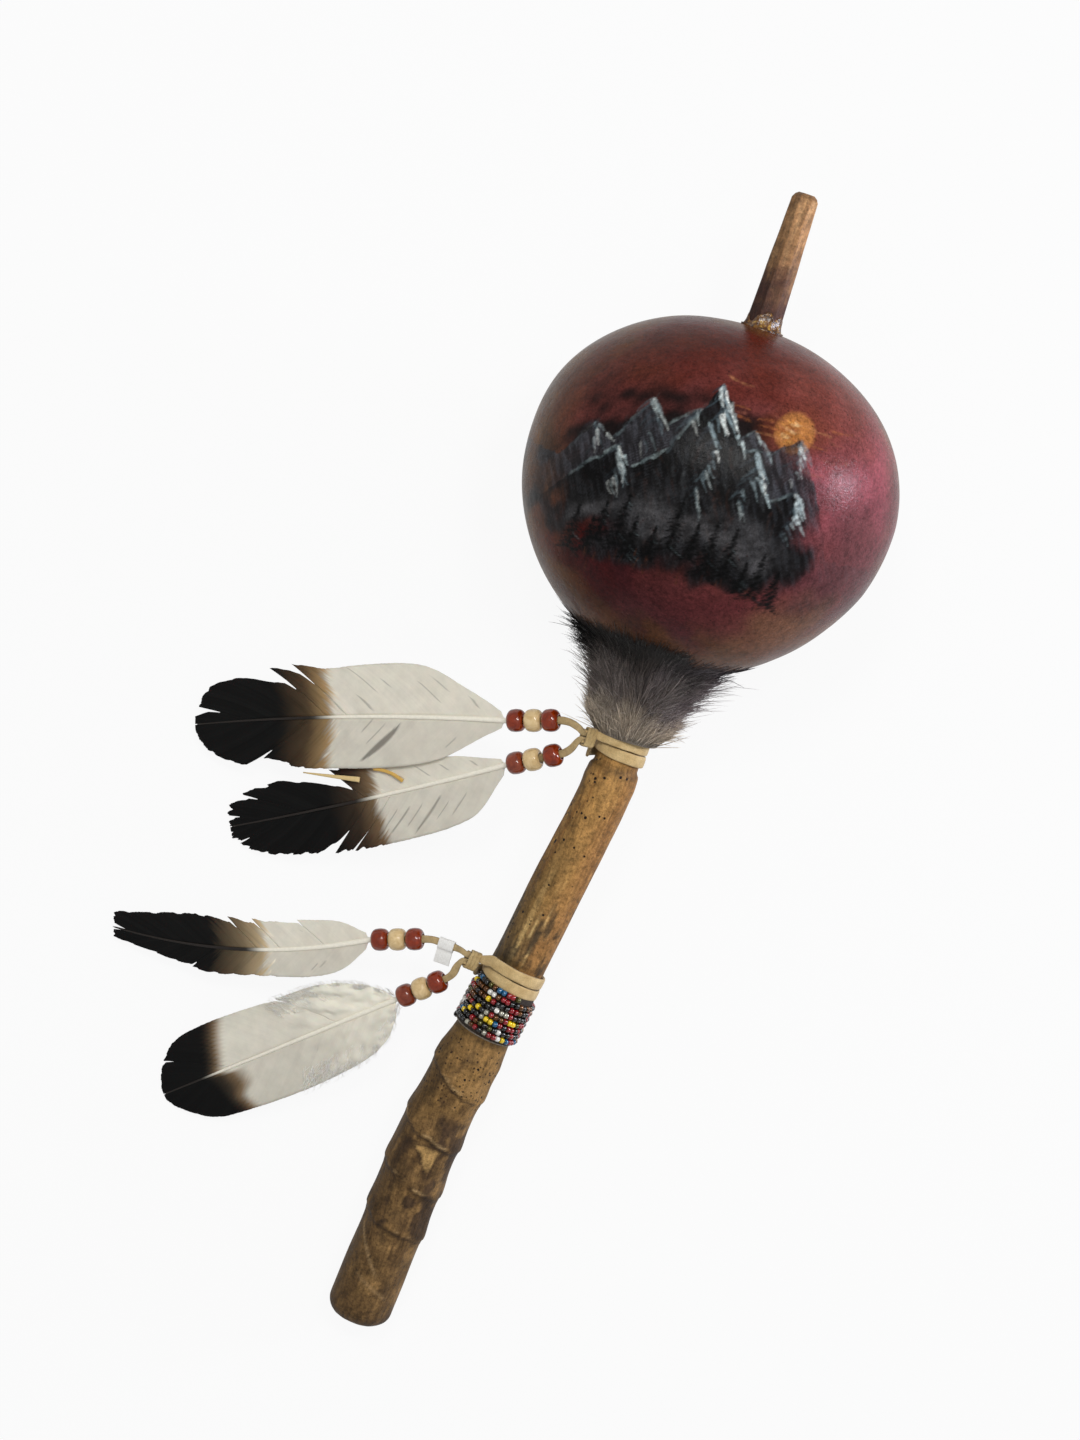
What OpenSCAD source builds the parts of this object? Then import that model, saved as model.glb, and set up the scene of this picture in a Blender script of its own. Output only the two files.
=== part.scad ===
// Gourd rattle: a dried gourd on a through stick, with a fur cuff, two thong wraps, a seed-bead
// band and four pendants of crow beads and feathers. Millimetres. It lies on a table: +Z is up,
// +Y runs along the stick towards its tip, and the origin is the middle of the gourd's ground spot.

/* [Gourd] */
// Radius of the gourd at its widest ring
gourd_r = 78; // [66:0.5:90]
// Height of the gourd above its widest ring
gourd_top = 65; // [56:0.5:76]
// Depth of the egg shape below its widest ring
gourd_bottom = 80.5; // [76:0.5:90]
// Fullness of the top, where 2 is an ellipse
gourd_fullness = 2.12; // [2:0.02:2.4]
// Thickness of the gourd's wall
gourd_wall = 4; // [2.5:0.1:5.5]
// Where the egg starts to draw in to the neck, below the widest ring
neck_start = 72; // [66:0.5:74]
// Where the neck becomes straight, below the widest ring
neck_straight = 98; // [92:0.5:100]
// Where the neck ends, below the widest ring
neck_end = 104; // [102:0.5:108]
// Wall of the neck
neck_wall = 3.6; // [2.5:0.1:5]
// Depth of the flat spot that the gourd rests on
ground_spot = 1.2; // [0.6:0.1:2]

/* [Stick and handle] */
// From the gourd's widest ring to the stick's tip
stick_tip = 122; // [90:1:150]
// Across flats at the tip
stick_tip_flats = 11; // [8:0.1:12]
// Across flats where the stick leaves the gourd
stick_exit_flats = 14.4; // [12:0.1:16]
// Across flats at the foot of the whittled part
stick_foot_flats = 16.6; // [15:0.1:17]
// Whittled faces
stick_faces = 8; // [6:1:12]
// Height of the tip's chamfer
stick_chamfer = 2.5; // [1:0.1:5]
// Radius of the round shank in the neck
shank_r = 9.6; // [9.4:0.1:10.6]
// How far the shank reaches into the gourd past the straight neck
shank_rise = 12; // [6:0.5:20]
// Lean of the handle's upper, middle and lower stretch
handle_lean = [8.1, 9.3, 3.7]; // [0:0.1:15]
// Length of the handle's upper, middle and lower stretch
handle_len = [102.5, 68.6, 92]; // [60:0.5:140]
// Radius of the handle under the upper thong
handle_top_r = 11.4; // [11:0.1:12.5]
// Radius of the handle above the lower thong
handle_mid_r = 11.9; // [11.7:0.1:12.4]
// Radius of the seat of the lower thong
thong_seat_r = 11.7; // [11:0.1:12]
// Radius of the seat of the bead band
band_seat_r = 12.4; // [12.1:0.1:13.2]
// Radius of the grip
grip_r = 14; // [13.4:0.1:16]
// Swell of the grip's rings
ring_swell = 0.9; // [0.4:0.1:1.6]
// Half width of a ring's swell
ring_reach = 8; // [5:0.5:9]
// The ring on the middle stretch, along that stretch
ring_middle = 41.8; // [36:0.2:50]
// The two rings on the lower stretch, along that stretch
rings_lower = [20.5, 42.5]; // [18:0.5:46]
// Rounding of the butt's edge
butt_round = 6; // [2:0.5:9]

/* [Glue and fur] */
// How far the yellow glue spreads from the stick
glue_spread = 4.5; // [2:0.1:7]
// How far the yellow glue climbs the stick
glue_climb = 4; // [2:0.1:7]
// Height of the glue fillet under the neck
neck_glue_h = 2.4; // [1:0.1:3]
// Where the fur starts on the gourd, below the widest ring
fur_start = 68.5; // [64:0.5:71]
// Radius of the fur where it is tied down
fur_tail_r = 12.4; // [11.5:0.1:14]
// Flare of the fur, in radius for each millimetre of length
fur_flare = 0.57; // [0.4:0.01:0.7]
// Thickness of the fur's edge on the gourd
fur_lip = 2.2; // [1:0.1:4]

/* [Thongs] */
// Width of a thong on the handle
thong_w = 5; // [4:0.1:6]
// Thickness of the leather
thong_t = 1.5; // [1.2:0.1:1.8]
// Width of a thong in its lashing
thong_pinch_w = 2.6; // [2:0.1:3]
// Gap between a thong's turns
thong_gap = 0.5; // [0.45:0.05:1]
// Angle from the lashing at which a thong leaves the handle
thong_leave = 28; // [22:1:34]
// How far up the handle's side each lashing sits, upper and lower
knot_lift = [30, 15]; // [0:1:40]
// How far each lashing sits above the middle of its thong
knot_up = [2, 0]; // [-2:0.1:2]
// Middle of the upper thong, below the gourd's widest ring
upper_thong_at = 119.4; // [118.5:0.1:124]
// From the middle of the lower thong to the foot of the handle's upper stretch
lower_thong_back = 8; // [8:0.5:40]
// Thickness of a lashing's strand
lash_d = 1.1; // [0.9:0.05:1.3]
// Pitch of a lashing's turns
lash_pitch = 1.6; // [1.55:0.05:2]
// Turns of a lashing
lash_turns = 2.5; // [2:0.5:4]

/* [Bead band] */
// Diameter of a seed bead
seed_d = 2.3; // [1.8:0.05:2.3]
// Distance between rows of seed beads
seed_pitch = 2.75; // [2.75:0.05:3]
// Turns of the thread of seed beads
seed_turns = 6.5; // [4:0.5:6.5]
// Where the band starts, along the handle's middle stretch
band_at = 1; // [1:0.1:2]

/* [Pendants] */
// Heading of each pendant, from straight left towards the butt
pendant_heading = [18.5, 30, 20, 42]; // [0:0.5:60]
// Sideways shift of each row of beads, positive towards the gourd
pendant_shift = [5, -4.4, 6.5, -4.4]; // [-8:0.1:8]
// From each lace's exit to the middle of its first bead
first_bead = [14, 13.5, 22.6, 14.6]; // [13:0.1:30]
// Extra gap between the first and second bead
bead_slip = [0, 1.6, 0, 0]; // [0:0.1:3]
// Height of each feather's tip above the table
feather_tip_z = [7, 2.5, 5.5, 2.5]; // [2:0.5:10]
// Width of a lace
lace_w = 3.2; // [2.8:0.1:3.4]
// Diameter of a crow bead
bead_d = 9.5; // [8.5:0.1:9.8]
// Length of a crow bead
bead_len = 7.4; // [6:0.1:8]
// Diameter of a crow bead's hole
bead_bore = 4.4; // [4.2:0.1:5]
// Rounding of a crow bead's edge
bead_round = 2.2; // [1:0.1:2.4]
// Gap between crow beads
bead_gap = 0.35; // [0.3:0.05:0.6]
// Length of each feather's vane
feather_len = [146, 136, 119, 119]; // [90:1:160]
// Width of each vane on the gourd's side of its shaft
feather_up = [22, 14, 12.5, 19.5]; // [8:0.5:26]
// Width of each vane on the butt's side of its shaft
feather_down = [22, 21, 12.5, 19.5]; // [8:0.5:26]
// Sideways bend of each feather at its tip, positive towards the gourd
feather_bend = [-1, 0.5, 7, 0.5]; // [-10:0.5:10]
// Where each vane reaches its full width, as a share of its length
feather_full = [0.42, 0.45, 0.36, 0.5]; // [0.2:0.02:0.6]
// Bluntness of each vane's tip, where 2 is an ellipse
feather_blunt = [5, 4, 2, 3.4]; // [2:0.2:8]
// Thickness of a vane
vane_t = 0.8; // [0.6:0.1:1]
// Thickness of a shaft
shaft_t = 2; // [1.4:0.1:2.4]
// Width of a shaft at its root
shaft_w = 2.4; // [1.6:0.1:3]
// Diameter of a quill in its bead
quill_d = 3.6; // [3:0.1:3.8]
// Length of the paper tag along its lace
tag_len = 7; // [4:0.5:7]
// Length of the paper tag's flag
tag_flag = 7; // [5:0.5:9]
// Thickness of the paper tag, two layers
tag_t = 0.8; // [0.6:0.1:1]

/* [Pebbles] */
// Radius of the smallest and the largest pebble
pebble_r = [3, 4]; // [2:0.1:4]
// Pebbles in each row
pebbles_in_row = 4; // [2:1:6]
// Middle of each group of pebbles, above the gourd's widest ring
pebble_at = [-36, -14, 8]; // [-45:1:25]
// Distance between a group's two rows
pebble_row = 9; // [8.6:0.1:11]

/* [Hidden] */
$fn = 48;
// clearance of wrapped pieces and of pieces that move
fit = 0.3;
snug = 0.2;
// from a lashing to the free start of its laces
exit_gap = 0.75;

function mix(a, b, u) = a + (b - a) * u;
function clip(u) = min(1, max(0, u));
function smooth(u) = let (c = clip(u)) c * c * (3 - 2 * c);
function unit(v) = v / norm(v);
function hermite(u, y0, m0, y1, m1) =
    (1 - 3 * u * u + 2 * u * u * u) * y0 + (u - 2 * u * u + u * u * u) * m0
    + (3 * u * u - 2 * u * u * u) * y1 + (u * u * u - u * u) * m1;

// gourd profile: radius at height t above the widest ring, drawn in by a wall of thickness w
neck_bore_r = shank_r + snug;
neck_r = neck_bore_r + neck_wall;
stick_hole_r = stick_exit_flats / 2 / cos(180 / stick_faces) + snug;
function egg(t, w) = t >= 0
    ? (gourd_r - w) * pow(1 - pow(clip(t / (gourd_top - w)), gourd_fullness), 1 / gourd_fullness)
    : (gourd_r - w) * sqrt(1 - pow(clip(-t / (gourd_bottom - w)), 2));
function egg_slope(t, w) = pow((gourd_r - w) / (gourd_bottom - w), 2) * -t / egg(t, w);
function draw_in(t, w, end_r) =
    let (a = -neck_start + w / 2, b = -neck_straight + w / 2, u = (a - t) / (a - b))
    u <= 0 ? egg(t, w)
    : u >= 1 ? end_r
    : hermite(u, egg(a, w), -egg_slope(a, w) * (a - b), end_r, 0);
function outer_r(t) = draw_in(t, 0, neck_r);
function inner_r(t) = draw_in(t, gourd_wall, neck_bore_r);
function outer_slope(t) = (outer_r(t + 0.05) - outer_r(t - 0.05)) / 0.1;
function inner_slope(t) = (inner_r(t + 0.05) - inner_r(t - 0.05)) / 0.1;
function pole(r, w) = (gourd_top - w)
    * pow(1 - pow(r / (gourd_r - w), gourd_fullness), 1 / gourd_fullness);
// heights from the stick's hole down to the neck's end, closer together near the hole
function heights(w) = concat(
    [for (k = [0:18]) pole(stick_hole_r, w) * pow(cos(90 * k / 18), 0.94)],
    [for (k = [1:14]) -(neck_start - w / 2) * k / 14],
    [for (k = [1:10]) mix(-neck_start + w / 2, -neck_straight + w / 2, k / 10)]);
function skin(w, end_r) = [for (t = heights(w))
    [t >= pole(stick_hole_r, w) ? stick_hole_r : draw_in(t, w, end_r), t]];

// the handle as four straight stretches in the gourd's own frame: y up the stick, z up
elbow = upper_thong_at + 1.5 * thong_w + thong_gap + fit
    + sqrt(pow(handle_top_r + 0.15, 2) - shank_r * shank_r);
stretch_lean = [0, handle_lean[0], handle_lean[1], handle_lean[2]];
function down(i) = [-sin(stretch_lean[i]), -cos(stretch_lean[i]), 0];
stretch_1 = [0, -elbow, 0];
stretch_2 = stretch_1 + handle_len[0] * down(1);
stretch_3 = stretch_2 + handle_len[1] * down(2);
stretch_from = [[0, 0, 0], stretch_1, stretch_2, stretch_3];
butt_seat = stretch_3 + (handle_len[2] - butt_round) * down(3);

// tilt at which the gourd's ground spot and the butt both touch the table
function rise(phi) = sqrt(pow(gourd_r * cos(phi), 2) + pow(gourd_bottom * sin(phi), 2));
function settle(phi, n) = n == 0 ? phi : settle(asin((rise(phi) - ground_spot - butt_round
    - (grip_r - butt_round) * sqrt(1 - pow(cos(handle_lean[2]) * sin(phi), 2))) / -butt_seat[1]), n - 1);
tilt = settle(9, 12);
gourd_at = [0, (gourd_bottom * gourd_bottom - gourd_r * gourd_r) * sin(tilt) * cos(tilt) / rise(tilt),
    rise(tilt) - ground_spot];
function to_table(p) = gourd_at + [p[0], p[1] * cos(tilt) - p[2] * sin(tilt),
    p[1] * sin(tilt) + p[2] * cos(tilt)];
// a point of stretch i: q is right, up and down the handle
function on_stretch(i, s, q) = let (c = cos(stretch_lean[i]), n = sin(stretch_lean[i]))
    stretch_from[i] + s * down(i) + [q[0] * c - q[2] * n, -q[0] * n - q[2] * c, q[1]];

// thongs: radius under the leather, place along the stretch, and where the lashing lies
thong_seat = [shank_r, thong_seat_r];
thong_stretch = [0, 1];
lower_thong_at = handle_len[0] - lower_thong_back;
thong_at = [upper_thong_at, lower_thong_at];
thong_pitch = thong_w + thong_gap;
thong_climb = thong_t + 0.8;
function thong_mid(k) = thong_seat[k] + snug + thong_t / 2;
function knot_in(k) = (thong_mid(k) + thong_climb) / cos(thong_leave);
knot_len = lash_turns * lash_pitch + lash_d;
function knot_out(k) = knot_in(k) + snug + knot_len;
pinch_z = thong_pinch_w / 2 + thong_gap / 2;

// pendants: exit of each lace on the table's frame, and the slope that brings its tip down
function knot_of(i) = i < 2 ? 0 : 1;
function exit_side(i) = i % 2 == 0 ? -1 : 1;
function exit_of(i) = let (k = knot_of(i), d = knot_out(k) + exit_gap)
    to_table(on_stretch(thong_stretch[k], thong_at[k],
        [-d * cos(knot_lift[k]), d * sin(knot_lift[k]), exit_side(i) * pinch_z - knot_up[k]]));
function bead_x(i, j) = first_bead[i] + j * (bead_len + bead_gap) + (j > 0 ? bead_slip[i] : 0);
function root_x(i) = bead_x(i, 2) + bead_len / 2 + 1;
function pendant_len(i) = root_x(i) + feather_len[i];
function pendant_slope(i) = asin((exit_of(i)[2] - feather_tip_z[i]) / pendant_len(i));

// free stretch of each lace, from its exit to its first bead, seen from above
lace_1_points = [[0, 0], [1, 1.2], [2.2, 2.2], [3.5, 3.1], [5, 3.9], [6.4, 4.4], [8.2, 4.8], [10.2, 5]];
lace_2_points = [[0, 0], [1.1, -0.5], [2.2, -1.2], [3.6, -2.3], [5, -3.2], [6.7, -3.9], [8.2, -4.3],
    [9.8, -4.4]];
lace_3_points = [[0, 0], [1.2, 0.9], [2.4, 1.7], [3.6, 2.3], [4.8, 2.8], [8.5, 4.15], [12.3, 5.5],
    [14.2, 6.1], [16.1, 6.4], [17.8, 6.5]];
lace_4_points = [[0, 0], [1.4, -0.3], [2.8, -0.9], [3.9, -1.6], [5, -2.5], [6.4, -3.5], [8.1, -4.1],
    [10.1, -4.4]];
lace_free = [lace_1_points, lace_2_points, lace_3_points, lace_4_points];
tag_point = 5;

// sweeps: rings of points, closed at both ends, with triangles between them
function ring_faces(rings, m) = concat(
    [for (i = [0:rings - 2], j = [0:m - 1]) each
        let (a = i * m + j, b = i * m + (j + 1) % m, c = a + m, d = b + m) [[a, b, d], [a, d, c]]],
    [for (j = [1:m - 2]) [0, j + 1, j]],
    [for (j = [1:m - 2]) let (o = (rings - 1) * m) [o, o + j, o + j + 1]]);
function way(path, i) = unit(path[min(i + 1, len(path) - 1)] - path[max(i - 1, 0)]);
function strip_section(w, t) = let (a = w / 2, b = t / 2, c = t / 4)
    [[a, b - c], [a - c, b], [c - a, b], [-a, b - c], [-a, c - b], [c - a, -b], [a - c, -b], [a, c - b]];
function tube_section(d) = [for (k = [0:5]) d / 2 * [cos(60 * k), sin(60 * k)]];
// rings along a path, with the outward direction and the section given for each point
function rings_along(path, outward, sections) = [for (i = [0:len(path) - 1])
    let (t = way(path, i), side = unit(cross(t, outward[i])), out = cross(side, t))
    [for (q = sections[i]) path[i] + q[0] * side + q[1] * out]];
module sweep(rings) {
    polyhedron([for (r = rings) each r], ring_faces(len(rings), len(rings[0])), convexity = 8);
}
// least distance between points of rings that lie at least apart rings from each other
function least_gap(rings, apart) = min([for (i = [0:len(rings) - 1 - apart], j = [i + apart:len(rings) - 1])
    min([for (p = rings[i], q = rings[j]) norm(p - q)])]);

// a thong: out of the lashing, off at a tangent, twice around the handle and back to the lashing
turn_steps = 44;
function thong_angle(n) = mix(thong_leave, 720 - thong_leave, n / turn_steps);
function thong_lift(a) = let (e = min(a, 720 - a)) thong_climb * smooth((100 - e) / (100 - thong_leave));
function thong_z(a) = let (e = max(45, min(675, a))) thong_pitch * (e / 360 - 1);
function thong_turn(k) = [for (n = [0:turn_steps]) let (a = thong_angle(n), r = thong_mid(k) + thong_lift(a))
    [-r * cos(a), r * sin(a), thong_z(a)]];
function thong_lead(k, side) = [for (u = [0.25, 0.5, 0.75, 1])
    let (r = thong_mid(k) + thong_climb, z = thong_z(thong_leave))
    [mix(-r * cos(thong_leave), -knot_in(k), u), -side * mix(r * sin(thong_leave), 0, u),
        mix(-side * z, side * pinch_z - knot_up[k], u)]];
function thong_end(k, side) = [for (u = [0.33, 0.67, 1]) [-mix(knot_in(k), knot_out(k) - 0.3, u), 0,
    side * pinch_z - knot_up[k]]];
function backwards(v) = [for (i = [len(v) - 1:-1:0]) v[i]];
function thong_path(k) = concat(backwards(concat(thong_lead(k, -1), thong_end(k, -1))), thong_turn(k),
    thong_lead(k, 1), thong_end(k, 1));
function thong_out(a) = [-cos(a), sin(a), 0];
thong_outward = concat([for (n = [0:3]) [0, 1, 0]], [for (n = [0:2]) thong_out(thong_leave)],
    [for (n = [0:turn_steps]) thong_out(thong_angle(n))],
    [for (n = [0:2]) thong_out(-thong_leave)], [for (n = [0:3]) [0, -1, 0]]);
thong_widths = concat([for (n = [0:3]) thong_pinch_w],
    [for (u = [0.75, 0.5, 0.25]) mix(thong_w, thong_pinch_w, u)],
    [for (n = [0:turn_steps]) thong_w],
    [for (u = [0.25, 0.5, 0.75]) mix(thong_w, thong_pinch_w, u)], [for (n = [0:3]) thong_pinch_w]);
function thong_rings(k) = rings_along(thong_path(k), thong_outward,
    [for (w = thong_widths) strip_section(w, thong_t)]);

// a lashing: turns of a thin strand, square around the two ends of its thong
lash_round = fit + lash_d / 2;
lash_y = thong_t / 2;
lash_z = thong_pinch_w + thong_gap / 2;
function lash_way(n) = let (c = floor(n / 6) % 4, a = 90 * c + 18 * (n % 6)) [0, cos(a), sin(a)];
function lash_point(k, n) = let (c = floor(n / 6) % 4)
    [-(knot_in(k) + snug + lash_d / 2 + lash_pitch * n / 24),
        (c == 0 || c == 3 ? 1 : -1) * lash_y, (c < 2 ? 1 : -1) * lash_z - knot_up[k]] + lash_round * lash_way(n);
lash_steps = 24 * lash_turns;
function lash_rings(k) = rings_along([for (n = [0:lash_steps]) lash_point(k, n)],
    [for (n = [0:lash_steps]) lash_way(n)], [for (n = [0:lash_steps]) tube_section(lash_d)]);

// the bead band: one thread of seed beads, wound down the handle
band_r = band_seat_r + snug + seed_d / 2;
band_steps = 24 * seed_turns;
band_len = seed_turns * seed_pitch + seed_d;
function band_way(n) = [sin(15 * n), cos(15 * n), 0];
band_rings = rings_along(
    [for (n = [0:band_steps]) band_r * band_way(n) + [0, 0, band_at + seed_d / 2 + seed_pitch * n / 24]],
    [for (n = [0:band_steps]) band_way(n)], [for (n = [0:band_steps]) tube_section(seed_d)]);

// laces: the free stretch, then straight through the beads to the middle of the outer one
function lace_path(i) = concat([for (p = lace_free[i]) [p[0], p[1], 0]],
    [for (j = [0:2]) [bead_x(i, j), pendant_shift[i], 0]]);
function lace_width(n) = lace_w * min(1, 0.35 + 0.23 * n);
function lace_rings(i) = let (path = lace_path(i)) rings_along(path, [for (p = path) [0, 0, 1]],
    [for (n = [0:len(path) - 1]) strip_section(lace_width(n), thong_t)]);

// feathers: the vane's edge as a share of its width, closer together at the tip, and its bend
function vane_share(i, u) = u < feather_full[i]
    ? sin(90 * u / feather_full[i])
    : sqrt(1 - pow(clip((u - feather_full[i]) / (1 - feather_full[i])), feather_blunt[i]));
vane_steps = 28;
function vane_edge(i, n, w) = let (u = sin(90 * n / vane_steps))
    [u * feather_len[i], feather_bend[i] * u * u + w * vane_share(i, u)];
function vane_outline(i) = concat(
    [for (n = [0:vane_steps]) vane_edge(i, n, feather_up[i])],
    [for (n = [vane_steps - 1:-1:1]) vane_edge(i, n, -feather_down[i])]);
function shaft_half(u) = shaft_w / 2 * (1 - 0.75 * u);
function shaft_outline(i) = concat(
    [for (n = [0:12]) let (u = 0.97 * n / 12)
        [u * feather_len[i], feather_bend[i] * u * u + shaft_half(u)]],
    [for (n = [12:-1:0]) let (u = 0.97 * n / 12)
        [u * feather_len[i], feather_bend[i] * u * u - shaft_half(u)]]);

// grip radius with its ring swells, at a place along a stretch
function swell(s, at) = ring_swell * pow(cos(90 * clip(abs(s - at) / ring_reach)), 2);
band_foot = band_at + band_len + 1;
middle_profile = concat([[0, 0], [band_seat_r, 0], [band_seat_r, band_foot]],
    [for (n = [1:5]) [mix(band_seat_r, grip_r, smooth(n / 5)), band_foot + 1.6 * n]],
    [for (n = [-6:6]) let (s = ring_middle + ring_reach * n / 6) [grip_r + swell(s, ring_middle), s]],
    [[grip_r, handle_len[1]], [0, handle_len[1]]]);
lower_profile = concat([[0, 0], [grip_r, 0]],
    [for (at = rings_lower, n = [-6:6]) let (s = at + ring_reach * n / 6) [grip_r + swell(s, at), s]],
    [for (n = [0:6]) [grip_r - butt_round * (1 - cos(15 * n)),
        handle_len[2] - butt_round * (1 - sin(15 * n))]],
    [[0, handle_len[2]]]);

strand_names = ["1", "2", "3", "4"];
bead_names = ["inner", "middle", "outer"];
pebble_names = ["low", "mid", "high"];

// frames
module on_table() {
    translate(gourd_at) rotate([tilt, 0, 0]) children();
}
// children's z runs up the stick
module along_stick() {
    on_table() rotate([-90, 0, 0]) children();
}
// children's z runs down stretch i of the handle, and y is up
module along_stretch(i, s = 0) {
    on_table() translate(stretch_from[i] + s * down(i)) rotate([0, 0, -stretch_lean[i]])
        rotate([90, 0, 0]) children();
}
// children's x runs out along pendant i, and y towards the gourd
module along_pendant(i) {
    translate(exit_of(i)) rotate([0, 0, pendant_heading[i]]) mirror([1, 0, 0])
        rotate([0, pendant_slope(i), 0]) children();
}

module gourd_shell() {
    color([0.38, 0.12, 0.08]) difference() {
        along_stick() rotate_extrude(convexity = 6) polygon(concat(skin(0, neck_r),
            [[neck_r, -neck_end], [neck_bore_r, -neck_end]], backwards(skin(gourd_wall, neck_bore_r))));
        translate([-gourd_r, -gourd_r, -20]) cube([2 * gourd_r, 2 * gourd_r, 20]);
    }
}

module whittled(levels) {
    n = stick_faces;
    top = (len(levels) - 1) * n;
    polyhedron(
        points = [for (l = levels, k = [0:n - 1]) let (r = l[1] / 2 / cos(180 / n), a = (k + 0.5) * 360 / n)
            [r * cos(a), r * sin(a), l[0]]],
        faces = concat([[for (k = [0:n - 1]) k]], [[for (k = [n - 1:-1:0]) top + k]],
            [for (i = [0:len(levels) - 2], k = [0:n - 1]) let (a = i * n + k, b = i * n + (k + 1) % n)
                [a, a + n, b + n, b]]));
}

module handle_stick() {
    shank_top = -neck_straight + shank_rise;
    tip_body = stick_tip - stick_chamfer;
    color([0.55, 0.36, 0.2]) union() {
        along_stick() {
            whittled([[shank_top - 2, stick_foot_flats], [gourd_top, stick_exit_flats],
                [tip_body, stick_tip_flats], [stick_tip, 0.6 * stick_tip_flats]]);
            translate([0, 0, -elbow]) cylinder(h = shank_top + elbow, r = shank_r);
        }
        along_stretch(1) {
            sphere(r = handle_top_r + 0.15);
            thong_top = lower_thong_at - 1.5 * thong_w - thong_gap - 1;
            cylinder(h = thong_top, r1 = handle_top_r, r2 = handle_mid_r);
            translate([0, 0, thong_top - 1]) cylinder(h = handle_len[0] - thong_top + 3, r = thong_seat_r);
        }
        along_stretch(2) rotate_extrude() polygon(middle_profile);
        along_stretch(3) {
            sphere(r = grip_r + ring_swell);
            rotate_extrude() polygon(lower_profile);
        }
    }
}

module tip_glue() {
    foot = pole(stick_hole_r, 0) + snug;
    edge_r = stick_hole_r + glue_spread;
    color([0.78, 0.58, 0.16]) along_stick() rotate_extrude() polygon(concat(
        [[stick_hole_r, foot], [edge_r, foot]],
        [for (n = [0:6]) [stick_hole_r + 0.2 + (glue_spread - 0.2) * (1 - sin(15 * n)),
            foot + 0.3 + (glue_climb - 0.3) * (1 - cos(15 * n))]],
        [[stick_hole_r, foot + glue_climb]]));
}

module neck_glue() {
    color([0.7, 0.55, 0.25]) along_stick() rotate_extrude() polygon([[neck_bore_r, -neck_end - snug],
        [neck_r - 0.4, -neck_end - snug], [neck_bore_r + 0.6, -neck_end - snug - neck_glue_h],
        [neck_bore_r, -neck_end - snug - neck_glue_h]]);
}

module fur_cuff() {
    end = upper_thong_at - 1.5 * thong_w - thong_gap - fit;
    step = neck_end + snug + neck_glue_h + fit;
    function clear(t) = outer_r(t) + fit * sqrt(1 + pow(outer_slope(t), 2));
    function body(t) = max(fur_tail_r + fur_flare * (t + end), clear(t) + fur_lip);
    ts = [for (n = [0:16]) mix(-step + 2, -fur_start, n / 16)];
    color([0.42, 0.38, 0.33]) along_stick() rotate_extrude(convexity = 4) polygon(concat(
        [[shank_r + fit, -end], [fur_tail_r, -end]],
        [for (t = ts) [body(t), t]],
        [for (t = backwards(ts)) [max(clear(t), neck_r + fit), t]],
        [[neck_r + fit, -step], [shank_r + fit, -step]]));
}

module thong(k) {
    color([0.72, 0.52, 0.33]) along_stretch(thong_stretch[k], thong_at[k]) rotate([0, 0, -knot_lift[k]])
        sweep(thong_rings(k));
}

module lashing(k) {
    color([0.62, 0.42, 0.26]) along_stretch(thong_stretch[k], thong_at[k]) rotate([0, 0, -knot_lift[k]])
        sweep(lash_rings(k));
}

module bead_band() {
    color([0.16, 0.24, 0.3]) along_stretch(2) sweep(band_rings);
}

module lace(i) {
    color([0.74, 0.55, 0.36]) along_pendant(i) sweep(lace_rings(i));
}

module crow_bead(i, j) {
    half = bead_len / 2;
    mid = bead_d / 2 - bead_round;
    color(j == 1 ? [0.88, 0.8, 0.62] : [0.4, 0.13, 0.08])
        along_pendant(i) translate([bead_x(i, j), pendant_shift[i], 0]) rotate([0, 90, 0])
            rotate_extrude() polygon(concat([[bead_bore / 2, half], [bead_bore / 2, -half]],
                [for (n = [0:6]) [mid + bead_round * sin(15 * n), -half + bead_round * (1 - cos(15 * n))]],
                [for (n = [0:6]) [mid + bead_round * cos(15 * n), half - bead_round * (1 - sin(15 * n))]]));
}

module feather(i) {
    in_bead = bead_len / 2 - 0.6;
    color([0.86, 0.82, 0.74]) along_pendant(i) translate([root_x(i), pendant_shift[i], 0]) {
        translate([0, 0, -vane_t / 2]) linear_extrude(vane_t) polygon(vane_outline(i));
        translate([0, 0, -shaft_t / 2]) linear_extrude(shaft_t) polygon(shaft_outline(i));
        translate([-in_bead - 1, 0, 0]) rotate([0, 90, 0]) cylinder(h = in_bead + 4, d = quill_d);
    }
}

module paper_tag() {
    at = lace_free[2][tag_point];
    ahead = lace_free[2][tag_point + 1] - lace_free[2][tag_point - 1];
    wide = lace_w / 2 + fit;
    high = thong_t / 2 + fit;
    color([0.93, 0.92, 0.88]) along_pendant(2) translate([at[0], at[1], 0])
        rotate([0, 0, atan2(ahead[1], ahead[0])]) rotate([90, 0, 90])
            translate([0, 0, -tag_len / 2]) linear_extrude(tag_len) difference() {
                union() {
                    translate([-wide - tag_t / 2, -high - tag_t / 2]) square([2 * wide + tag_t, 2 * high + tag_t]);
                    translate([-wide - tag_flag, -tag_t / 2]) square([tag_flag, tag_t]);
                }
                translate([-wide, -high]) square([2 * wide, 2 * high]);
            }
}

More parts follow.
